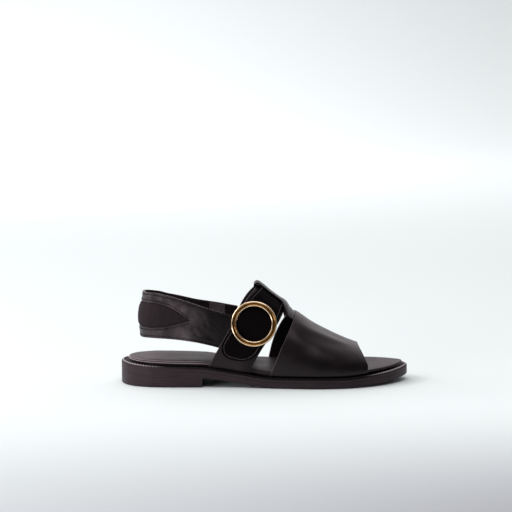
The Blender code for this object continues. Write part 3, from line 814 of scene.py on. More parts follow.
Shade = namedtuple("Shade", "station strength")  # share of a dye's lightness kept at places along the shoe; the rest is painted shade
# Painted shade along the shoe: the sling darkens towards its back and towards the closing strap, the instep
# strap towards its front, the footbed near the straps, the sole's edge along the waist and forepart, the welt
# under the upper, and the footbed's painted highlight fades ahead of the heel
PAINTED_SHADES = {
    "sling_milled_calf": [Shade(18, 0.4), Shade(42, 0.8), Shade(60, 1.0), Shade(74, 0.35), Shade(84, 0.03)],
    "instep_milled_calf": [Shade(106, 1.0), Shade(118, 0.12)],
    "footbed_sheepskin": [Shade(25, 1.0), Shade(75, 0.2), Shade(150, 0.25), Shade(240, 0.45)],
    "inked_sole_leather": [
        Shade(0, 1.0),
        Shade(80, 0.9),
        Shade(150, 0.68),
        Shade(210, 0.68),
        Shade(264, 1.0),
    ],
    "waxed_welt_leather": [
        Shade(30, 1.0),
        Shade(75, 0.25),
        Shade(100, 0.05),
        Shade(222, 0.05),
        Shade(250, 0.9),
    ],
    "footbed_painted_highlight": [Shade(64, 1.0), Shade(96, 0.1)],
}


def shaded(tree, spot, dye, name):
    """The dye made darker along the shoe by painted shade, where the shoe's own parts keep the light off."""
    if name not in PAINTED_SHADES:
        return dye
    shades = PAINTED_SHADES[name]
    first, final = shades[0].station, shades[-1].station
    along = node(tree, "ShaderNodeSeparateXYZ", {"Vector": spot}).outputs["X"]
    reach = mapped(tree, along, (first - ORIGIN[0]) * MM, (final - ORIGIN[0]) * MM)
    ramp = node(tree, "ShaderNodeValToRGB", {"Fac": reach})
    ramp.color_ramp.interpolation = "EASE"
    stops = ramp.color_ramp.elements
    for shade in shades[1:-1]:
        stops.new((shade.station - first) / (final - first))
    for stop, shade in zip(stops, shades):
        stop.color = (shade.strength, shade.strength, shade.strength, 1)
    inputs = {"Factor": 1.0, "A": dye, "B": ramp.outputs["Color"]}
    return node(tree, "ShaderNodeMix", inputs, data_type="RGBA", blend_type="MULTIPLY").outputs["Result"]


def leather(name, colour, second_colour):
    """A dyed leather: cloudy colour and gloss, a grain of cells with pores between, and painted shade along
    the shoe where the table lists it.
    """
    kind = LEATHERS[name]
    material, tree, shader, place = new_material(name)
    spot = place.outputs["Object"]
    cloud = noise(tree, spot, 16, detail=4.0, roughness=0.55)
    dye = blend(tree, mapped(tree, cloud, 0.35, 0.75, 0.0, kind.tone), colour, second_colour)
    smoothest = kind.rough - kind.rough_spread / 2
    roughest = kind.rough + kind.rough_spread / 2
    cells = node(
        tree,
        "ShaderNodeTexVoronoi",
        {"Vector": spot, "Scale": per_mm(kind.grain), "Smoothness": 0.6, "Randomness": 1.0},
        feature="SMOOTH_F1",
    )
    grain = bump(tree, cells.outputs["Distance"], 1.0, kind.depth, invert=True)
    pores = noise(tree, spot, kind.pore)
    finish = {
        "Base Color": shaded(tree, spot, dye, name),
        "Roughness": mapped(tree, cloud, 0.3, 0.7, smoothest, roughest),
        "Normal": bump(tree, pores, 0.6, kind.depth * 0.4, grain),
        "IOR": kind.gloss,
        "Specular Tint": (*SPECULAR_TINT, 1),
        "Coat Weight": kind.coat,
        "Coat Roughness": kind.coat_rough,
    }
    feed(tree, shader, finish)
    return material


def sole_leather(colour, second_colour):
    """Stacked sole leather, trimmed, inked and waxed: fine level lines along its edge, dull specks, and
    painted shade along the waist and forepart.
    """
    material, tree, shader, place = new_material("inked_sole_leather")
    spot = place.outputs["Object"]
    flat = node(tree, "ShaderNodeMapping", {"Vector": spot, "Scale": (0.06, 0.06, 1.0)})
    layers = noise(tree, flat.outputs["Vector"], 1.1, detail=3.0, roughness=0.6)
    specks = noise(tree, spot, 1.4, detail=3.0)
    cloud = noise(tree, spot, 22, detail=3.0)
    ink = blend(tree, mapped(tree, layers, 0.3, 0.75, 0.05, 0.5), colour, second_colour)
    lines = bump(tree, layers, 0.7, 0.16)
    finish = {
        "Base Color": shaded(tree, spot, ink, material.name),
        "Roughness": mapped(tree, cloud, 0.3, 0.7, 0.40, 0.56),
        "Normal": bump(tree, specks, 0.6, 0.14, lines),
        "IOR": 1.33,
        "Specular Tint": (*SPECULAR_TINT, 1),
    }
    feed(tree, shader, finish)
    return material


def woven_elastic(colour, second_colour, rib):
    """Gore elastic, rubber threads covered and woven with polyester: upright ribs with a dull cross weave."""
    material, tree, shader, place = new_material("woven_gore_elastic")
    thread = place.outputs["UV"]

    def waves(pitch, direction, **inputs):
        scale = 2 * math.pi / (20 * pitch)
        inputs = {"Vector": thread, "Scale": scale, **inputs}
        return node(tree, "ShaderNodeTexWave", inputs, bands_direction=direction).outputs["Fac"]

    ribs = waves(rib, "Y", Distortion=0.3, Detail=1.0)
    weft = waves(rib * 0.7, "X", Distortion=0.4)
    lint = node(tree, "ShaderNodeTexNoise", {"Vector": thread, "Scale": 0.35, "Detail": 3.0})
    finish = {
        "Base Color": blend(tree, multiplied(tree, ribs, lint.outputs["Fac"]), colour, second_colour),
        "Normal": bump(tree, weft, 0.5, 0.08, bump(tree, ribs, 0.8, 0.16)),
        "Roughness": 0.86,
        "IOR": 1.2,
    }
    feed(tree, shader, finish)
    return material


def waxed_thread(name, colour, second_colour, painted_light_ends):
    """Bonded polyester thread, twisted and waxed: small dull strands, or painted light at the shoe's ends and
    dark as painted shade along the middle.
    """
    material, tree, shader, place = new_material(name)
    spot = place.outputs["Object"]
    strand = noise(tree, spot, 0.7)
    share = strand
    if painted_light_ends:
        along = node(tree, "ShaderNodeSeparateXYZ", {"Vector": spot})
        from_middle = node(tree, "ShaderNodeMath", {0: along.outputs["X"]}, operation="ABSOLUTE")
        begun, full = (distance * MM for distance in THREAD_PAINTED_LIGHT)
        share = mapped(tree, from_middle.outputs["Value"], begun, full, interpolation_type="SMOOTHSTEP")
    finish = {
        "Base Color": blend(tree, share, colour, second_colour),
        "Normal": bump(tree, strand, 0.5, 0.1),
        "Roughness": 0.6,
        "IOR": 1.25,
    }
    feed(tree, shader, finish)
    return material


def gilt_metal(name, colour, second_colour):
    """Zinc casting, polished and gold-plated: a mirror with faint hairlines, deeper where polish stays."""
    material, tree, shader, place = new_material(name)
    spot = place.outputs["Object"]
    cloud = noise(tree, spot, 5, detail=3.0)
    drawn = {"Vector": spot, "Scale": (1.0, 1.0, 0.08), "Rotation": (0.4, 0.7, 0.0)}
    hairlines = noise(tree, node(tree, "ShaderNodeMapping", drawn).outputs["Vector"], 0.5)
    finish = {
        "Base Color": blend(tree, cloud, colour, second_colour),
        "Roughness": mapped(tree, cloud, 0.3, 0.7, 0.06, 0.13),
        "Normal": bump(tree, hairlines, 0.05, 0.01),
        "Metallic": 1.0,
    }
    feed(tree, shader, finish)
    return material


def seamless_paper(colour, front):
    """Matt background paper: an even white, with painted shade greying it towards its front right corner."""
    material, tree, shader, place = new_material("background_paper_painted_shade")
    spot = place.outputs["Object"]
    axes = node(tree, "ShaderNodeSeparateXYZ", {"Vector": spot})
    forward = mapped(tree, axes.outputs["Y"], *PAPER_SHADE_FORWARD, interpolation_type="SMOOTHSTEP")
    right = mapped(tree, axes.outputs["X"], *PAPER_SHADE_ACROSS, PAPER_SHADE_LEFT_SHARE, 1.0)
    finish = {
        "Base Color": blend(tree, multiplied(tree, forward, right), colour, front),
        "Normal": bump(tree, noise(tree, spot, 2.0, detail=3.0), 0.2, 0.05),
        "Roughness": 0.8,
        "Specular IOR Level": 0.0,
    }
    feed(tree, shader, finish)
    return material


def plan_loop(inset, extra_end=0.0, count=241, last_station=LENGTH, breast=0, reach=0.0):
    """The sole's outline as one closed line: outer edge to the toe or heel breast, then the inner edge."""
    outer, inner = outline(inset, inset + extra_end, count, last_station, reach)
    across = np.linspace(0, 1, breast + 2)[1:-1, None]
    front = outer[-1] + (inner[-1] - outer[-1]) * across
    back = inner[::-1] if last_station < LENGTH else inner[-2::-1]
    return np.concatenate([outer, front, back])


def towards_middle(plan, share, last_station=LENGTH):
    """A line of the outline drawn in towards the sole's middle line."""
    station = np.clip(plan[:, 0], MEDIAL_REACH, max(last_station - MEDIAL_REACH, MEDIAL_REACH))
    middle = np.column_stack([station, smooth(SOLE_PLAN, "middle", station)])
    return middle + (plan - middle) * share


def at_height(plan, height):
    return np.column_stack([plan, np.broadcast_to(height, len(plan))])


def closed_skin(name, rows, materials, bands=None):
    """A closed skin through rings of points; bands gives each band between two rings its material."""
    obj = lay_grid(name, np.array(rows))
    for material in materials:
        obj.data.materials.append(material)
    if bands:
        obj.data.polygons.foreach_set("material_index", np.repeat(bands, len(rows[0]) - 1))
    weld(obj)
    select_only(obj)
    bpy.ops.object.shade_smooth_by_angle(angle=math.radians(50))
    return obj


def make_outsole(material):
    """Outsole with a stitch channel under it; its lower edge is rounded ahead of the heel."""
    edge = plan_loop(0.0)
    bare = np.clip((edge[:, :1] - HEEL_LENGTH) / ROUND_FADE + 0.5, 0, 1)
    inside = plan_loop(OUTSOLE_SKIN[0].inset)
    rows = [(towards_middle(inside, share), 0.0) for share in (0.0, 0.35, 0.7)]
    for s in OUTSOLE_SKIN:
        plan = plan_loop(s.inset)
        rounded = s.inset < 2 and s.height < 1
        rows.append((edge + (plan - edge) * bare if rounded else plan, s.height))
    rows += [(towards_middle(inside, share), OUTSOLE) for share in (1.0, 0.5, 0.0)]
    skin = [at_height(plan, underside(plan[:, 0]) + height) for plan, height in rows]
    return closed_skin("outsole_leather", skin, [material])


def make_heel(material):
    """Heel block up to the outsole, with a straight breast."""

    def edge(inset):
        return plan_loop(inset, count=121, last_station=HEEL_LENGTH, breast=24)

    flat, low = HEEL_SKIN[0], HEEL_SKIN[-1].height
    rows = [at_height(towards_middle(edge(flat.inset), share, HEEL_LENGTH), 0.0) for share in (0.0, 0.5)]
    rows += [at_height(edge(s.inset), s.height) for s in HEEL_SKIN]
    for share in (0.35, 0.7, 1.0):
        plan = edge(0.0)
        rows.append(at_height(plan, low + (underside(plan[:, 0]) - low) * share))
    for share in (0.5, 0.0):
        plan = towards_middle(edge(flat.inset), share, HEEL_LENGTH)
        rows.append(at_height(plan, underside(plan[:, 0]) - GAP))
    return closed_skin("heel_stack", rows, [material])


def make_welt(materials, wheel_pitch, wheel_depth):
    """Welt ring with the marks of a fudge wheel pressed into its upper edge."""
    run = run_along(plan_loop(0.0, count=WELT_POINTS), 0)
    marks = round(run[-1] / wheel_pitch)
    press = np.clip(np.cos(2 * np.pi * marks * run / run[-1]), 0, 1) ** 2
    rows = []
    for s in WELT_SKIN:
        plan = plan_loop(s.inset, count=WELT_POINTS)
        on_edge = np.exp(-(((s.inset - WHEEL_INSET) / WHEEL_WIDTH) ** 2)) * (s.height > WHEEL_ABOVE)
        pressed = wheel_depth * press * on_edge
        rows.append(at_height(plan, underside(plan[:, 0]) + OUTSOLE + GAP + s.height - pressed))
    rows.append(rows[0])
    low, high = WELT_SIDE
    bands = [1 if s.inset < 1 and low < s.height < high else 0 for s in WELT_SKIN]
    return closed_skin("welt_strip", rows, materials, bands)


def make_footbed(cover, wrap, piping):
    """Padded insole: a pad inside the welt, a wrapped edge with two bands of painted highlight, and a gently
    dished cover.
    """
    extra = FOOTBED_END_INSET - FOOTBED_SIDE_INSET
    rim = VAMP + 2 * GAP
    pad = plan_loop(WELT_WIDTH + GAP)
    low = underside(pad[:, 0]) + OUTSOLE + GAP
    inside = towards_middle(pad, 0.0)
    rows = [
        at_height(inside, underside(inside[:, 0]) + OUTSOLE + GAP),
        at_height(pad, low),
        at_height(pad, welt_top(pad[:, 0]) + rim),
    ]
    for s in FOOTBED_SKIN:
        plan = plan_loop(FOOTBED_SIDE_INSET + s.inset, extra, reach=1.0)
        rows.append(at_height(plan, footbed_height(s.height, plan[:, 0], plan[:, 1])))
    top = FOOTBED_SKIN[-1]
    edge = plan_loop(FOOTBED_SIDE_INSET + top.inset, extra, reach=1.0)
    for d in FOOTBED_DISH:
        plan = towards_middle(edge, d.share)
        heel = np.clip((DISH_END - plan[:, 0]) / DISH_FADE, 0, 1)
        drop = d.drop + (d.heel_drop - d.drop) * heel
        rows.append(at_height(plan, footbed_height(top.height - drop, plan[:, 0], plan[:, 1])))
    before = len(rows) - len(FOOTBED_SKIN) - len(FOOTBED_DISH)
    bands = [1] * before
    for s in FOOTBED_SKIN:
        bands.append(RIM_MATERIALS[np.searchsorted(RIM_BAND_HEIGHTS, s.height, side="right")])
    bands += [0] * (len(rows) - 1 - len(bands))
    obj = closed_skin("footbed_pad", rows, [cover, wrap, piping], bands)
    return obj


def girth_rows(wall_rows, turn_rows=5, tuck_rows=4):
    """Girth marks from one lasting edge over the ridge to the other."""
    turn = np.linspace(WALL_END, TURN_END, turn_rows)[1:]
    tuck = np.linspace(TURN_END, TUCK_END, tuck_rows)[1:]
    below = np.concatenate([turn, tuck])
    return np.concatenate([-below[::-1], np.linspace(-WALL_END, WALL_END, wall_rows), below])


def band_edge(outer_rows, inner_rows, column, girth):
    rise = rise_of(girth)
    return np.where(girth < 0, smooth(outer_rows, column, rise), smooth(inner_rows, column, rise))


def band(outer_rows, inner_rows, wall_rows, columns):
    """Stations, girths and points of a band of the last."""
    girth = girth_rows(wall_rows)
    rear = band_edge(outer_rows, inner_rows, "rear", girth)
    front = band_edge(outer_rows, inner_rows, "front", girth)
    station = rear[:, None] + (front - rear)[:, None] * np.linspace(0, 1, columns)
    return station, girth, last(station, girth[:, None])


def from_ridge(points, girth):
    """Length over the last from the ridge to each point, outer side negative."""
    run = run_along(points, 0)
    return run - run[np.argmin(np.abs(girth))]


def make_vamp(finishes, crease_scale):
    """Open-toed vamp with soft creases, which fade above its lower edge."""
    station, girth, points = band(VAMP_OUTER, VAMP_INNER, 121, 85)
    lift = creased(station, from_ridge(points, girth), VAMP_CREASES) * crease_scale
    lift *= np.clip((WALL_END - np.abs(girth)) / CREASE_STOP, 0, 1)[:, None]
    points = points + normals_of(points) * lift[..., None]
    return wall_up(lay_grid("vamp", points), VAMP, 1, 0.5, finishes)


def make_instep_strap(finishes):
    _, _, points = band(INSTEP_STRAP, INSTEP_INNER, 121, 45)
    return wall_up(lay_grid("instep_strap", points), STRAP, 1, 0.45, finishes)


def ridge_girth(station, aside):
    """Girth mark that lies a sideways distance from the ridge."""
    ridge_middle = smooth(LAST_RIDGE, "ridge_middle", station)
    outer_reach = ridge_middle - footbed_edge(OUTER, station)
    inner_reach = footbed_edge(INNER, station) - ridge_middle
    reach = np.where(aside < 0, outer_reach, inner_reach)
    angle = np.arccos((np.abs(aside) / reach) ** (WALL_POWER / 2))
    return np.sign(aside) * (WALL_END - angle / (np.pi / 2))


def make_loop(finishes):
    """Strip from under the vamp over the instep strap, folded round its rear edge and back beneath it."""
    shares = np.linspace(-1, 1, 41)
    start = LOOP_UNDER_VAMP[-1]
    edge = smooth(CLOSING_STRAP, "rear", rise_of(ridge_girth(LOOP_FOLD_STATION, shares * start.half_width)))
    fold_station = np.minimum(edge - LOOP_CLEAR, LOOP_FOLD_STATION)
    fold_middle = LOOP_RETURN_LIFT + LOOP_FOLD_RADIUS
    rows = []
    for step in np.linspace(0, start.step, 73):
        station, lift, half = (smooth(LOOP_UNDER_VAMP, c, step) for c in ("station", "lift", "half_width"))
        rows.append((station + 0 * edge, lift, half))
    for share in np.linspace(0, 1, 6)[1:-1]:
        station = start.station * (1 - share) + fold_station * share
        rows.append((station, fold_middle + LOOP_FOLD_RADIUS, start.half_width))
    for turn in np.linspace(0, np.pi, 15):
        station = fold_station - LOOP_FOLD_RADIUS * np.sin(turn)
        rows.append((station, fold_middle + LOOP_FOLD_RADIUS * np.cos(turn), start.half_width))
    for share in np.linspace(0, 1, 16)[1:]:
        station = fold_station * (1 - share) + LOOP_RETURN_END * share
        rows.append((station, LOOP_RETURN_LIFT, start.half_width))
    station = np.array([row[0] for row in rows])
    lift = np.array([row[1] for row in rows])[:, None] + 0 * station
    aside = np.array([row[2] for row in rows])[:, None] * shares
    points = raised(station, ridge_girth(station, aside), lift)
    return wall_up(lay_grid("tongue_loop", points), STRAP, 1, 0.45, finishes)


def sling_point(station, side, height):
    """A point of the last's heel; behind the blend station its outline is drawn in to the sling's back."""
    back = smooth(SLING_BACK, "station", height)
    heel = FOOTBED_END_INSET - GAP
    drawn = heel + (station - back) * (SLING_BLEND - heel) / (SLING_BLEND - back)
    on_last = np.where(station < SLING_BLEND, drawn, station)
    base = welt_top(on_last) + GAP + VAMP + TURN
    rise = (height - base) / (smooth(LAST_RIDGE, "ridge_height", on_last) - base)
    across = last(on_last, girth_at_rise(side, rise))[..., 1]
    return np.stack(np.broadcast_arrays(station, across, height), axis=-1)


def sling_column(along, shares, low, high, clear):
    """Points up one column of the sling between two edge lines; along runs from -1 over the heel to 1."""
    side = OUTER if along < 0 else INNER
    station = SLING_EDGES[0].station + (SLING_FRONT - SLING_EDGES[0].station) * along**2
    if station > WINDOW_TIP - GAP and low == "window_top":
        low = "window_bottom"
    bottom = smooth(SLING_EDGES, low, station) + clear
    top = smooth(SLING_EDGES, high, station) - clear
    if side == INNER and high == "top":
        top -= smooth(SLING_EDGES, "inner_drop", station)
    height = bottom + (top - bottom) * shares
    back = smooth(SLING_BACK, "station", height)
    station = back + (SLING_FRONT - back) * along**2
    return sling_point(station, side, height)


def sling_marks(tip_count, front_count):
    tip = np.sqrt((WINDOW_TIP - SLING_EDGES[0].station) / (SLING_FRONT - SLING_EDGES[0].station))
    half = np.concatenate([np.linspace(0, tip, tip_count), np.linspace(tip, 1, front_count)[1:]])
    return np.concatenate([-half[:0:-1], half]), tip


def make_sling(finishes, crease_scale, stitch_inset):
    """Heel band with a leaf-shaped window over the back: a lower and an upper rail that meet at its tips."""
    marks, tip = sling_marks(49, 33)
    shares = np.linspace(0, 1, 23)
    open_window = (np.abs(marks) < tip)[:, None]
    rails = {}
    for name, low, high in (("lower", "bottom", "window_bottom"), ("upper", "window_top", "top")):
        points = np.array([sling_column(a, shares, low, high, 0) for a in marks])
        from_low = run_along(points, 1)
        from_high = from_low[:, -1:] - from_low
        edge, inner_edge = (from_low, from_high) if name == "lower" else (from_high, from_low)
        signed = points[..., 0] * np.where(marks < 0, OUTER, INNER)[:, None]
        lift = creased(signed, points[..., 2], SLING_CREASES) * crease_scale
        lift = lift + pulled_in(edge, stitch_inset) + pulled_in(inner_edge, stitch_inset) * open_window
        lift *= np.clip(np.minimum(edge, np.where(open_window, inner_edge, edge)) / EDGE_FADE, 0, 1)
        rails[name] = points + normals_of(points) * lift[..., None]
    lower, upper = rails["lower"], rails["upper"]
    closed = np.abs(marks) > tip + 1e-6
    joint = (lower[:, -1] + upper[:, 0]) / 2
    lower[closed, -1] = joint[closed]
    upper[closed, 0] = joint[closed]
    obj = lay_grid("sling_lower", lower)
    other = lay_grid("sling_upper", upper)
    select_only(obj)
    other.select_set(True)
    bpy.ops.object.join()
    name_piece(obj, "heel_sling")
    weld(obj, 2e-5)
    return wall_up(obj, SLING, 1 - 2 * SLING_INSIDE / SLING, 0.5, finishes), rails, marks, tip


def make_sling_patch(finishes):
    """Second layer inside the sling's inner end, and the lines of its upright seams with their normals."""
    back = SLING_EDGES[0].station
    marks = np.sqrt((np.linspace(*PATCH, PATCH_COLUMNS) - back) / (SLING_FRONT - back))
    shares = np.linspace(*PATCH_RISE, 25)
    points = np.array([sling_column(a, shares, "bottom", "top", 0) for a in marks])
    out = normals_of(points)
    points = points - out * (SLING_INSIDE + PATCH_CLEAR)
    seams = [(points[k] - out[k] * (PATCH_THICK + PATCH_CLEAR), -out[k]) for k in PATCH_SEAMS]
    return wall_up(lay_grid("sling_patch", points), PATCH_THICK, -1, 0.2, finishes), seams


def make_gore(material):
    """Elastic panel in the sling's window, bulging over the heel, its edges sewn in behind the leather."""
    marks, _ = sling_marks(61, 2)
    marks = marks[1:-1]
    shares = (1 - np.cos(np.linspace(0, np.pi, 33))) / 2
    points = np.array([sling_column(a, shares, "window_bottom", "window_top", -GORE_TUCK) for a in marks])
    from_edge = np.minimum(run_along(points, 1), run_along(points[:, ::-1], 1)[:, ::-1]) - GORE_TUCK
    open_half = np.maximum(from_edge.max(axis=1, keepdims=True), 0.1)
    fullness = np.clip((from_edge - GORE_TRENCH) / open_half, 0, 1)
    round_over = np.sqrt(np.clip(1 - (1 - fullness) ** GORE_ROUND, 0, 1))
    swell = GORE_BULGE * np.clip(open_half / GORE_FULL, 0, 1) * round_over
    trench = GORE_TRENCH_DEPTH * np.exp(-((np.maximum(from_edge, 0) / GORE_TRENCH) ** 2))
    points = points + normals_of(points) * (GORE_LIFT - trench + swell)[..., None]
    obj = wall_up(lay_grid("elastic_gore", points), GORE, 1, 0.2, [material])
    return obj


def closing_edges(girth):
    return tuple(band_edge(CLOSING_STRAP, CLOSING_INNER, column, girth) for column in ("rear", "front"))


def ring_frame():
    """Middle of the buckle on the last, with unit vectors out of the strap, up along it and across it."""
    rises = np.array([RING_RISE - 0.08, RING_RISE, RING_RISE + 0.08])
    girths = girth_at_rise(OUTER, rises)
    stations = sum(closing_edges(girths)) / 2
    low, centre, high = raised(stations, girths, np.zeros(3))
    out = raised(stations, girths, np.ones(3))[1] - centre
    up = high - low
    up -= out * (up @ out)
    up /= np.linalg.norm(up)
    return centre, out, up, np.cross(out, up)


class ClosingStrap:
    """The closing strap's surface, by distance from its rounded end and share of its width."""

    def __init__(self):
        self.centre, _, self.up, _ = ring_frame()
        ends = girth_at_rise(OUTER, STRAP_END_RISE), girth_at_rise(INNER, STRAP_INNER_RISE)
        self.girths = np.linspace(*ends, STRAP_SAMPLES)
        lift = np.full(STRAP_SAMPLES, STRAP + GAP)
        middle = raised(sum(closing_edges(self.girths)) / 2, self.girths, lift)
        self.run = run_along(middle, 0)
        self.length = self.run[-1]

    def at(self, from_end, inset_share, lift, rounded):
        """Points at a share of the width; rounded narrows the strap to its round end."""
        girth = np.interp(from_end, self.run, self.girths)
        rear, front = closing_edges(girth)
        on_middle = raised((rear + front) / 2, girth, np.zeros_like(girth))
        from_ring = np.where(girth < 0, (on_middle - self.centre) @ self.up, LENGTH)
        pinch = PINCH * np.cos(np.pi / 2 * np.clip(from_ring / PINCH_REACH, -1, 1)) ** 2
        hump = (BAR_THICK + GAP) * np.cos(np.pi / 2 * np.clip(from_ring / HUMP_REACH, -1, 1)) ** 2
        rear, front = rear + rounded + pinch, front - rounded - pinch
        station = rear + (front - rear) * inset_share
        return raised(station, girth, STRAP + GAP + hump + lift)


def end_rounding(from_end, radius):
    corner = np.clip(radius - from_end, 0, radius)
    return radius - np.sqrt(radius**2 - corner**2)


def make_closing_strap(finishes, crease_scale, stitch_inset):
    """Outer layer of the instep strap, from its rounded end near the sole to the inner side's footbed."""
    strap = ClosingStrap()
    from_end = np.concatenate([
        STRAP_END_ROUND * (1 - np.cos(np.linspace(0, np.pi / 2, 19))),
        np.linspace(STRAP_END_ROUND, strap.length, 121)[1:],
    ])[:, None]
    share = np.linspace(0, 1, 61)
    rounded = end_rounding(from_end, STRAP_END_ROUND)
    flat = strap.at(from_end, share, np.zeros((len(from_end), len(share))), rounded)
    run = run_along(flat, 1)
    aside = run - run[:, -1:] / 2
    edge = np.minimum(np.minimum(run, run[:, -1:] - run), from_end + 0 * run)
    lift = creased(from_end, aside, STRAP_CREASES) * crease_scale + pulled_in(edge, stitch_inset)
    lift *= np.clip(edge / EDGE_FADE, 0, 1)
    points = strap.at(from_end, share, lift, rounded)
    return wall_up(lay_grid("closing_strap_leather", points), STRAP, 1, 0.45, finishes), strap


def add_block(size, place):
    """A small block with softened edges, its size and place in millimetres."""
    deselect()
    bpy.ops.mesh.primitive_cube_add(size=1)
    block = bpy.context.object
    edit_all(block)
    bpy.ops.transform.resize(value=[s * MM for s in size])
    bpy.ops.transform.translate(value=[p * MM for p in place])
    bpy.ops.object.mode_set(mode="OBJECT")
    apply_modifier(block, "BEVEL", width=BAR_ROUND * MM, segments=2)
    return block


def make_buckle(rim, recess, groove):
    """Round buckle: a torus pressed to an oval section, with a flat groove between its two rims, painted a
    darker gilt as shade.
    """
    centre, out, up, across = ring_frame()
    deselect()
    bpy.ops.mesh.primitive_torus_add(
        major_segments=160, minor_segments=48, major_radius=RING_RADIUS * MM, minor_radius=RING_BAND / 2 * MM
    )
    ring = name_piece(bpy.context.object, "ring_buckle_gilt")
    edit_all(ring)
    bpy.ops.transform.resize(value=(1, 1, RING_THICK / RING_BAND))
    bpy.ops.object.mode_set(mode="OBJECT")
    co = vertex_places(ring) / MM
    from_band = (np.hypot(co[:, 0], co[:, 1]) - RING_RADIUS) / (RING_BAND * GROOVE_SHARE)
    co[:, 2] -= groove * np.exp(-(from_band**6)) * (co[:, 2] > 0)
    ring.data.vertices.foreach_set("co", (co * MM).ravel())
    in_groove = (np.abs(from_band) < GROOVE_EDGE) & (co[:, 2] > 0)
    ring.data.materials.append(rim)
    ring.data.materials.append(recess)
    for face in ring.data.polygons:
        face.material_index = int(in_groove[list(face.vertices)].all())
    drop = STRAP + GAP + BAR_THICK / 2 - RING_LIFT
    blocks = [add_block((2 * BAR_HALF_LENGTH, BAR_WIDTH, BAR_THICK), (0, 0, drop))]
    for side in (OUTER, INNER):
        blocks.append(add_block((POST_WIDTH, BAR_WIDTH, -drop), (side * RING_RADIUS, 0, drop / 2)))
    select_only(ring)
    # The bar and posts take the groove's painted shade, so they stay dark where they show past the strap
    for block in blocks:
        block.data.materials.append(recess)
        block.select_set(True)
    bpy.ops.object.join()
    place = Matrix([
        (across[0], up[0], out[0], 0),
        (across[1], up[1], out[1], 0),
        (across[2], up[2], out[2], 0),
        (0, 0, 0, 1),
    ])
    place.translation = Vector(in_frame(centre + out * RING_LIFT))
    ring.data.transform(place)
    select_only(ring)
    bpy.ops.object.shade_smooth_by_angle(angle=math.radians(45))
    return ring


Row = namedtuple("Row", "line out pitch length width")


def line_inside(points, distance, last_column=False):
    """The line that runs this far inside a grid's first or last column, with the grid's normals along it."""
    out = normals_of(points)
    if last_column:
        points, out = points[:, ::-1], out[:, ::-1]
    run = run_along(points, 1)
    line = np.array([on_line(distance, r, p) for r, p in zip(run, points)])
    normal = np.array([on_line(distance, r, n) for r, n in zip(run, out)])
    return line, normal


def sew(name, rows, material):
    """Rows of stitches, each a copy of one rounded strand laid along its line, joined in one mesh."""
    deselect()
    bpy.ops.mesh.primitive_uv_sphere_add(segments=8, ring_count=6, radius=0.5)
    strand = bpy.context.object
    edit_all(strand)
    bpy.ops.transform.rotate(value=math.pi / 2, orient_axis="Y", center_override=(0, 0, 0))
    bpy.ops.object.mode_set(mode="OBJECT")
    shape = np.array([v.co for v in strand.data.vertices])
    faces = [tuple(p.vertices) for p in strand.data.polygons]
    bpy.data.objects.remove(strand)
    points, polygons = [], []
    for row in rows:
        run = run_along(row.line, 0)
        count = max(int(run[-1] / row.pitch), 1)
        for middle in (np.arange(count) + 0.5) * run[-1] / count:
            behind = on_line(middle - STITCH_REACH, run, row.line)
            ahead = on_line(middle + STITCH_REACH, run, row.line)
            along = (ahead - behind) / np.linalg.norm(ahead - behind)
            out = on_line(middle, run, row.out)
            out = out - along * (out @ along)
            out /= np.linalg.norm(out)
            axes = np.array([along * row.length, np.cross(out, along) * row.width, out * row.width])
            base = len(points) * len(shape)
            points.append(on_line(middle, run, row.line) + shape @ axes)
            polygons += [tuple(base + i for i in f) for f in faces]
    mesh = bpy.data.meshes.new(name)
    mesh.from_pydata(in_frame(np.concatenate(points)).tolist(), [], polygons)
    mesh.materials.append(material)
    mesh.shade_smooth()
    obj = bpy.data.objects.new(name, mesh)
    bpy.context.scene.collection.objects.link(obj)
    return obj


def size_property(label, about, default, **limits):
    return FloatProperty(name=label, description=about, default=default, **limits)


class SandalStitching(bpy.types.PropertyGroup):
    """Sizes of the sandal's sewing."""

    pitch: size_property("Stitch pitch", "Distance between stitches, mm", 2.3, min=1)
    length: size_property("Stitch length", "Length of one strand, mm", 1.45, min=0.5)
    width: size_property("Thread width", "Thickness of the thread, mm", 1.1, min=0.1)
    inset: size_property("Stitch inset", "Distance of a row from its edge, mm", 2.0, min=0.5)
    welt_pitch: size_property("Welt pitch", "Distance between welt stitches, mm", 3.0, min=1)
    welt_length: size_property("Welt stitch", "Length of a welt strand, mm", 2.5, min=1)
    welt_width: size_property("Welt thread", "Thickness of the welt thread, mm", 1.5, min=0.1)
    welt_inset: size_property("Welt inset", "Distance from the sole's edge, mm", 1.6, min=0.5)


class SandalShape(bpy.types.PropertyGroup):
    """Sizes of the leather's soft forms and the fine relief."""

    crease_scale: size_property("Creases", "Strength of creases", 1.0, subtype="FACTOR")
    wheel_pitch: size_property("Wheel pitch", "Distance between welt wheel marks, mm", 3.0)
    wheel_depth: size_property("Wheel depth", "Depth of the welt's wheel marks, mm", 0.28)
    ring_groove: size_property("Ring groove", "Depth of the groove in the ring, mm", 1.1)
    gore_rib: size_property("Elastic rib", "Distance between ribs of the elastic, mm", 1.1)
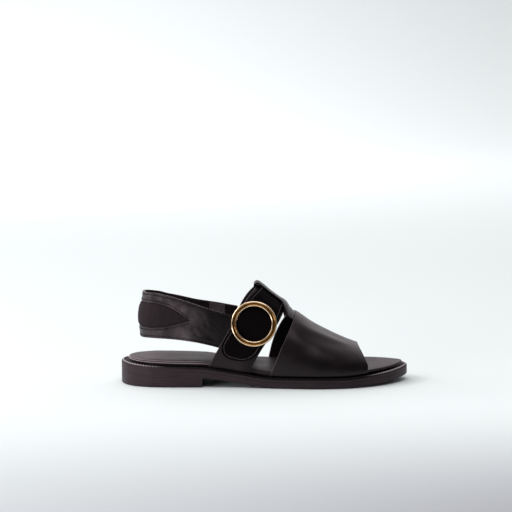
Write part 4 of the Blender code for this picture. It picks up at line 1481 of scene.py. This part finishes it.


# Main colour of each material, and its second colour where it is worn, raised or thin; the welt thread's
# second colour is painted light at the heel and toe, the paper's is painted shade at its front right, and the
# groove's two colours are painted shade
Dye = namedtuple("Dye", "key label about colour second")
DYES = [
    Dye("vamp", "Vamp", "Dye of the vamp", "#0b0809", "#181213"),
    Dye("strap", "Strap", "Dye of the closing strap", "#0a0808", "#141112"),
    Dye("sling", "Sling", "Dye of the heel sling", "#241e20", "#62595c"),
    Dye("instep", "Instep strap", "Dye of the instep strap", "#1c1719", "#302a2c"),
    Dye("patch", "Sling patch", "Dye of the patch inside the sling", "#5c5255", "#8b8083"),
    Dye("loop", "Loop", "Dye of the loop", "#0d0a0b", "#1c1718"),
    Dye("lining", "Lining", "Dye of the lining", "#1f1a1c", "#322a2b"),
    Dye("edge", "Cut edge", "Paint of the cut edges", "#544a4d", "#6f6568"),
    Dye("footbed", "Footbed", "Dye of the footbed cover", "#42363b", "#5c4f54"),
    Dye("welt", "Welt", "Wax of the welt", "#2e2629", "#4e4549"),
    Dye("sole", "Sole", "Ink of the sole's edge", "#251d20", "#44383c"),
    Dye("elastic", "Elastic", "Yarn of the gore", "#231d1f", "#3c3236"),
    Dye("thread", "Thread", "Sewing thread of the sling", "#020202", "#070606"),
    # The welt thread's second colour is painted light, pale where the heel and toe catch the light
    Dye("welt_thread", "Welt thread", "Thread of the welt", "#1d181a", "#b4adaf"),
    Dye("strap_thread", "Strap thread", "Thread of the closing strap", "#332c2e", "#5a5053"),
    Dye("wrap", "Footbed wrap", "Dye of the footbed's wrapped edge", "#2c2427", "#453b3f"),
    # These colours are a painted highlight on two bands of the footbed's rim
    Dye("piping", "Footbed piping", "Dye of the piping round the footbed", "#857c7f", "#a39a9d"),
    Dye("gold", "Gilt", "Plating of the ring", "#fbe6cc", "#e6c298"),
    # These colours are painted shade: a darker gilt for the dark room that the groove mirrors
    Dye("recess", "Gilt, groove", "Toned plating in the ring's groove", "#b98a4b", "#966a35"),
    # The paper's second colour is painted shade, greying its front right corner
    Dye("paper", "Paper", "Background paper", "#f1fdfb", "#9ea3a8"),
]


def colour_property(label, about, hex_colour):
    colour = linear(hex_colour)
    return FloatVectorProperty(
        name=label, description=about, size=3, subtype="COLOR", min=0, max=1, default=colour
    )


def dye_properties():
    """Two colours on the panel for each dye."""
    made = {}
    for dye in DYES:
        made[dye.key] = colour_property(dye.label, dye.about, dye.colour)
        made[dye.key + "_second"] = colour_property(
            dye.label + ", second", dye.about + ", where it is rubbed, raised, thin or shaded", dye.second
        )
    return made


class SandalColours(bpy.types.PropertyGroup):
    """Colours of the sandal's materials."""

    __annotations__ = dye_properties()


class SandalStudio(bpy.types.PropertyGroup):
    """Light of the studio."""

    key: size_property("Key light", "Power of the soft key light", 13.0, unit="POWER")
    top: size_property("Top light", "Power of the soft light over the front floor", 4.5, unit="POWER")
    fill: size_property("Panel light", "Power of the low panel at the front left", 7.0, unit="POWER")
    background: size_property("Backdrop light", "Power of the light on the paper's rise", 48.0, unit="POWER")
    sky: size_property("Room light", "Brightness of the lit part of the room", 1.0)
    dark: size_property("Room dark", "Brightness of the room behind the camera", 0.09)


def pair(key):
    """A material's two colours, as the panel has them."""
    dyes = bpy.context.scene.sandal_colours
    return tuple(getattr(dyes, key)), tuple(getattr(dyes, key + "_second"))


def material_of(name, maker, *arguments):
    """A material of this name, made the first time that a piece asks for it."""
    return bpy.data.materials.get(name) or maker(*arguments)


def thread_of(name, key, painted_light_ends=False):
    return material_of(name, waxed_thread, name, *pair(key), painted_light_ends)


def leather_of(name, key):
    return material_of(name, leather, name, *pair(key))


def inked_sole():
    return material_of("inked_sole_leather", sole_leather, *pair("sole"))


def sheet_finishes(name, key, own_edge=False):
    """Materials of a sheet's face, cut edge and lining; an own edge is dyed like the face."""
    face = leather_of(name, key)
    edge = face if own_edge else leather_of("painted_leather_edge", "edge")
    return [face, edge, leather_of("pigskin_lining", "lining")]


class SANDAL_OT_sole(bpy.types.Operator):
    """Makes the outsole and the heel under it"""

    bl_idname = "sandal.make_sole"
    bl_label = "Sole and heel"

    def execute(self, context):
        material = inked_sole()
        seat(make_outsole(material), "sole_leather", "outsole")
        seat(make_heel(material), "sole_leather", "heel")
        return {"FINISHED"}


class SANDAL_OT_welt(bpy.types.Operator):
    """Makes the welt with its wheel marks and its row of stitches"""

    bl_idname = "sandal.make_welt"
    bl_label = "Welt"

    def execute(self, context):
        sewing, shape = context.scene.sandal_stitching, context.scene.sandal_shape
        materials = [leather_of("waxed_welt_leather", "welt"), inked_sole()]
        seat(make_welt(materials, shape.wheel_pitch, shape.wheel_depth), "welt_leather", "welt")
        plan = plan_loop(sewing.welt_inset, count=WELT_POINTS)
        line = at_height(plan, welt_top(plan[:, 0]) + WELT_THREAD_PROUD)
        up = np.tile((0.0, 0.0, 1.0), (len(line), 1))
        row = Row(line, up, sewing.welt_pitch, sewing.welt_length, sewing.welt_width)
        # The welt's thread is painted light at the heel and toe and dark between, where the upper shades it
        thread = thread_of("waxed_welt_thread", "welt_thread", painted_light_ends=True)
        seat(sew("welt_stitches", [row], thread), "welt_leather")
        return {"FINISHED"}


class SANDAL_OT_footbed(bpy.types.Operator):
    """Makes the padded footbed"""

    bl_idname = "sandal.make_footbed"
    bl_label = "Footbed"

    def execute(self, context):
        cover = leather_of("footbed_sheepskin", "footbed")
        wrap = leather_of("footbed_wrap_leather", "wrap")
        # The footbed's rim bands in this leather are a painted highlight
        piping = leather_of("footbed_painted_highlight", "piping")
        seat(make_footbed(cover, wrap, piping), "footbed_leather", "footbed")
        return {"FINISHED"}


class SANDAL_OT_vamp(bpy.types.Operator):
    """Makes the vamp with its soft creases"""

    bl_idname = "sandal.make_vamp"
    bl_label = "Vamp"

    def execute(self, context):
        finishes = sheet_finishes("vamp_calf_leather", "vamp")
        vamp = make_vamp(finishes, context.scene.sandal_shape.crease_scale)
        seat(vamp, "upper_leather", "upper")
        return {"FINISHED"}


class SANDAL_OT_instep(bpy.types.Operator):
    """Makes the instep strap and the loop that holds it"""

    bl_idname = "sandal.make_instep"
    bl_label = "Instep strap and loop"

    def execute(self, context):
        strap = make_instep_strap(sheet_finishes("instep_milled_calf", "instep"))
        seat(strap, "upper_leather", "upper")
        loop = make_loop(sheet_finishes("loop_glazed_calf", "loop", own_edge=True))
        seat(loop, "upper_leather", "upper")
        return {"FINISHED"}


class SANDAL_OT_sling(bpy.types.Operator):
    """Makes the heel sling, its rows of stitches and its elastic gore"""

    bl_idname = "sandal.make_sling"
    bl_label = "Heel sling and gore"

    def execute(self, context):
        sewing, shape = context.scene.sandal_stitching, context.scene.sandal_shape
        finishes = sheet_finishes("sling_milled_calf", "sling")
        obj, rails, marks, tip = make_sling(finishes, shape.crease_scale, sewing.inset)
        seat(obj, "upper_leather", "upper")
        proud = SLING - SLING_INSIDE + THREAD_PROUD
        rows = []
        for rail, last_column, window in (
            ("lower", False, False),
            ("lower", True, True),
            ("upper", False, True),
            ("upper", True, False),
        ):
            line, out = line_inside(rails[rail], sewing.inset, last_column)
            if window:
                kept = np.abs(marks) < tip
                line, out = line[kept], out[kept]
            rows.append(Row(line + out * proud, out, sewing.pitch, sewing.length, sewing.width))
        seat(sew("sling_stitches", rows, thread_of("waxed_black_thread", "thread")), "upper_leather")
        patch, seams = make_sling_patch([leather_of("patch_split_calf", "patch")] * 3)
        seat(patch, "upper_leather", "upper")
        thin = sewing.width * PATCH_THREAD
        rows = [Row(line, out, sewing.pitch, sewing.length, thin) for line, out in seams]
        seat(sew("patch_stitches", rows, thread_of("waxed_strap_thread", "strap_thread")), "upper_leather")
        elastic = material_of("woven_gore_elastic", woven_elastic, *pair("elastic"), shape.gore_rib)
        seat(make_gore(elastic), "elastic", "heel_gore")
        return {"FINISHED"}


class SANDAL_OT_closing_strap(bpy.types.Operator):
    """Makes the closing strap with its sewn edge"""

    bl_idname = "sandal.make_closing_strap"
    bl_label = "Closing strap"

    def execute(self, context):
        sewing, shape = context.scene.sandal_stitching, context.scene.sandal_shape
        finishes = sheet_finishes("strap_buffed_calf", "strap", own_edge=True)
        obj, strap = make_closing_strap(finishes, shape.crease_scale, sewing.inset)
        seat(obj, "strap_leather", "closing_strap")
        down = np.linspace(strap.length - STRAP_THREAD_STOP, STRAP_END_ROUND, 160)
        corner = np.linspace(0, np.pi / 2, 24)[1:]
        radius = STRAP_END_ROUND - sewing.inset
        from_end = np.concatenate([down, STRAP_END_ROUND - radius * np.sin(corner)])
        inward = np.concatenate([np.full(len(down), sewing.inset), STRAP_END_ROUND - radius * np.cos(corner)])
        both = np.concatenate([from_end, from_end[::-1]])
        zero = np.zeros_like(both)
        wide = np.linalg.norm(strap.at(both, 1.0, zero, 0.0) - strap.at(both, 0.0, zero, 0.0), axis=1)
        share = np.concatenate([inward, wide[len(inward) :] - inward[::-1]]) / wide
        lift = zero + STRAP - STRAP_THREAD_SUNK
        low = strap.at(both, share, lift, 0.0)
        out = strap.at(both, share, lift + 1, 0.0) - low
        in_ring = np.linalg.norm(low - strap.centre, axis=1) < RING_RADIUS  # no stitch shows there
        runs = np.split(np.arange(len(low)), np.flatnonzero(np.diff(in_ring)) + 1)
        strand, thin = sewing.pitch * STRAP_STRAND, sewing.width * STRAP_THREAD
        rows = [Row(low[run], out[run], sewing.pitch, strand, thin) for run in runs if not in_ring[run[0]]]
        thread = thread_of("waxed_strap_thread", "strap_thread")
        seat(sew("strap_stitches", rows, thread), "strap_leather")
        return {"FINISHED"}


class SANDAL_OT_buckle(bpy.types.Operator):
    """Makes the gilt ring buckle"""

    bl_idname = "sandal.make_buckle"
    bl_label = "Ring buckle"

    def execute(self, context):
        rim = gilt_metal("polished_gilt_metal", *pair("gold"))
        # The groove's darker gilt is painted shade
        recess = gilt_metal("gilt_painted_shade", *pair("recess"))
        ring = make_buckle(rim, recess, context.scene.sandal_shape.ring_groove)
        seat(ring, "gold_metal", "ring_buckle")
        return {"FINISHED"}


CAMERA_PLACE = (-0.0070, -1.68907, 0.30845)
CAMERA_TILT = 83.5
CAMERA_ROLL = 0.2
CAMERA_LENS = 130.2
CAMERA_SENSOR = 36.0
SWEEP_START = 3.5  # metres behind the shoe where the paper begins to rise
SWEEP_RADIUS = 2.5
SWEEP_TURN = 0.9
FLOOR_FRONT = -3.0
FLOOR_HALF_WIDTH = 4.0
LIT_SIDE = (-0.45, 0.77, 0.45)  # the room is bright on this side and dark behind the camera
LIT_RANGE = (-0.4, 0.65)
SEEN_ROOM = 0.95  # brightness of the room where the camera sees past the paper

LIGHT_TINT = "#fff8fb"
Softbox = namedtuple("Softbox", "name place target width depth power")


def lay_paper():
    """A sheet of background paper that lies flat under the shoe and rises behind it."""
    deselect()
    bpy.ops.mesh.primitive_grid_add(x_subdivisions=2, y_subdivisions=96)
    floor = name_piece(bpy.context.object, "paper_floor")
    co = vertex_places(floor)
    length = SWEEP_START + SWEEP_RADIUS * SWEEP_TURN - FLOOR_FRONT
    run = FLOOR_FRONT + (co[:, 1] + 1) / 2 * length
    turn = np.clip((run - SWEEP_START) / SWEEP_RADIUS, 0, SWEEP_TURN)
    y = np.minimum(run, SWEEP_START) + SWEEP_RADIUS * np.sin(turn)
    z = SWEEP_RADIUS * (1 - np.cos(turn))
    floor.data.vertices.foreach_set("co", np.column_stack([co[:, 0] * FLOOR_HALF_WIDTH, y, z]).ravel())
    floor.data.materials.append(seamless_paper(*pair("paper")))
    select_only(floor)
    bpy.ops.object.shade_smooth()


def set_lights(studio):
    for box in (
        Softbox("key_softbox", (-1.5, 0.25, 0.95), (0.0, 0.0, 0.03), 1.1, 1.1, studio.key),
        Softbox("top_softbox", (0.1, -0.75, 1.3), (0.0, -0.12, 0.0), 0.8, 0.8, studio.top),
        Softbox("low_panel", (-1.15, -1.3, 0.24), (-0.07, 0.0, 0.06), 0.6, 0.36, studio.fill),
        Softbox("background_light", (-1.2, 3.0, 2.0), (-0.6, 4.0, 0.2), 2.0, 1.5, studio.background),
    ):
        deselect()
        bpy.ops.object.light_add(type="AREA", location=box.place)
        light = bpy.context.object
        light.name = box.name
        light.data.shape = "RECTANGLE"
        light.data.size = box.width
        light.data.size_y = box.depth
        light.data.energy = box.power
        light.data.color = linear(LIGHT_TINT)
        towards = Vector(box.target) - Vector(box.place)
        light.rotation_euler = towards.to_track_quat("-Z", "Y").to_euler()


def set_room(studio):
    """Light of the room round the paper, bright on one side."""
    world = bpy.data.worlds.new("soft_room")
    world.use_nodes = True
    bpy.context.scene.world = world
    tree = world.node_tree
    tree.nodes.clear()
    way = node(tree, "ShaderNodeTexCoord").outputs["Generated"]
    towards = node(tree, "ShaderNodeVectorMath", {0: way, 1: LIT_SIDE}, operation="DOT_PRODUCT")
    ends = (*LIT_RANGE, studio.dark, studio.sky)
    lit = mapped(tree, towards.outputs["Value"], *ends, interpolation_type="SMOOTHSTEP")
    seen = node(tree, "ShaderNodeLightPath").outputs["Is Camera Ray"]
    strength = node(tree, "ShaderNodeMix", {"Factor": seen, "A": lit, "B": SEEN_ROOM}, data_type="FLOAT")
    light = {"Color": (*linear(LIGHT_TINT), 1), "Strength": strength.outputs["Result"]}
    glow = node(tree, "ShaderNodeBackground", light)
    node(tree, "ShaderNodeOutputWorld", {"Surface": glow.outputs["Background"]})


class SANDAL_OT_studio(bpy.types.Operator):
    """Sets the paper floor, the soft lights and the camera"""

    bl_idname = "sandal.set_studio"
    bl_label = "Studio"

    def execute(self, context):
        lay_paper()
        set_lights(context.scene.sandal_studio)
        set_room(context.scene.sandal_studio)
        deselect()
        turn = (math.radians(CAMERA_TILT), math.radians(CAMERA_ROLL), 0)
        bpy.ops.object.camera_add(location=CAMERA_PLACE, rotation=turn)
        camera = bpy.context.object
        camera.name = "photo_camera"
        camera.data.lens = CAMERA_LENS
        camera.data.sensor_width = CAMERA_SENSOR
        context.scene.camera = camera
        context.scene.view_settings.view_transform = "Standard"
        return {"FINISHED"}


class SANDAL_PT_panel(bpy.types.Panel):
    """Lists the sandal's sizes, colours and steps"""

    bl_idname = "SANDAL_PT_panel"
    bl_label = "Sandal"
    bl_space_type = "VIEW_3D"
    bl_region_type = "UI"
    bl_category = "Sandal"

    def draw(self, context):
        for step in STEPS:
            self.layout.operator(step.bl_idname)
        for group in GROUPS:
            settings = getattr(context.scene, group)
            column = self.layout.column(align=True)
            for name in settings.bl_rna.properties.keys():
                if name not in {"rna_type", "name"}:
                    column.prop(settings, name)


STEPS = (
    SANDAL_OT_sole,
    SANDAL_OT_welt,
    SANDAL_OT_footbed,
    SANDAL_OT_vamp,
    SANDAL_OT_instep,
    SANDAL_OT_sling,
    SANDAL_OT_closing_strap,
    SANDAL_OT_buckle,
    SANDAL_OT_studio,
)
GROUPS = {
    "sandal_stitching": SandalStitching,
    "sandal_shape": SandalShape,
    "sandal_colours": SandalColours,
    "sandal_studio": SandalStudio,
}


def register():
    for name, group in GROUPS.items():
        bpy.utils.register_class(group)
        setattr(bpy.types.Scene, name, PointerProperty(type=group))
    for step in (*STEPS, SANDAL_PT_panel):
        bpy.utils.register_class(step)


def unregister():
    for step in (SANDAL_PT_panel, *reversed(STEPS)):
        bpy.utils.unregister_class(step)
    for name, group in GROUPS.items():
        delattr(bpy.types.Scene, name)
        bpy.utils.unregister_class(group)


def main():
    register()
    bpy.ops.sandal.make_sole()
    bpy.ops.sandal.make_welt()
    bpy.ops.sandal.make_footbed()
    bpy.ops.sandal.make_vamp()
    bpy.ops.sandal.make_instep()
    bpy.ops.sandal.make_sling()
    bpy.ops.sandal.make_closing_strap()
    bpy.ops.sandal.make_buckle()
    bpy.ops.sandal.set_studio()


if __name__ == "__main__":
    main()
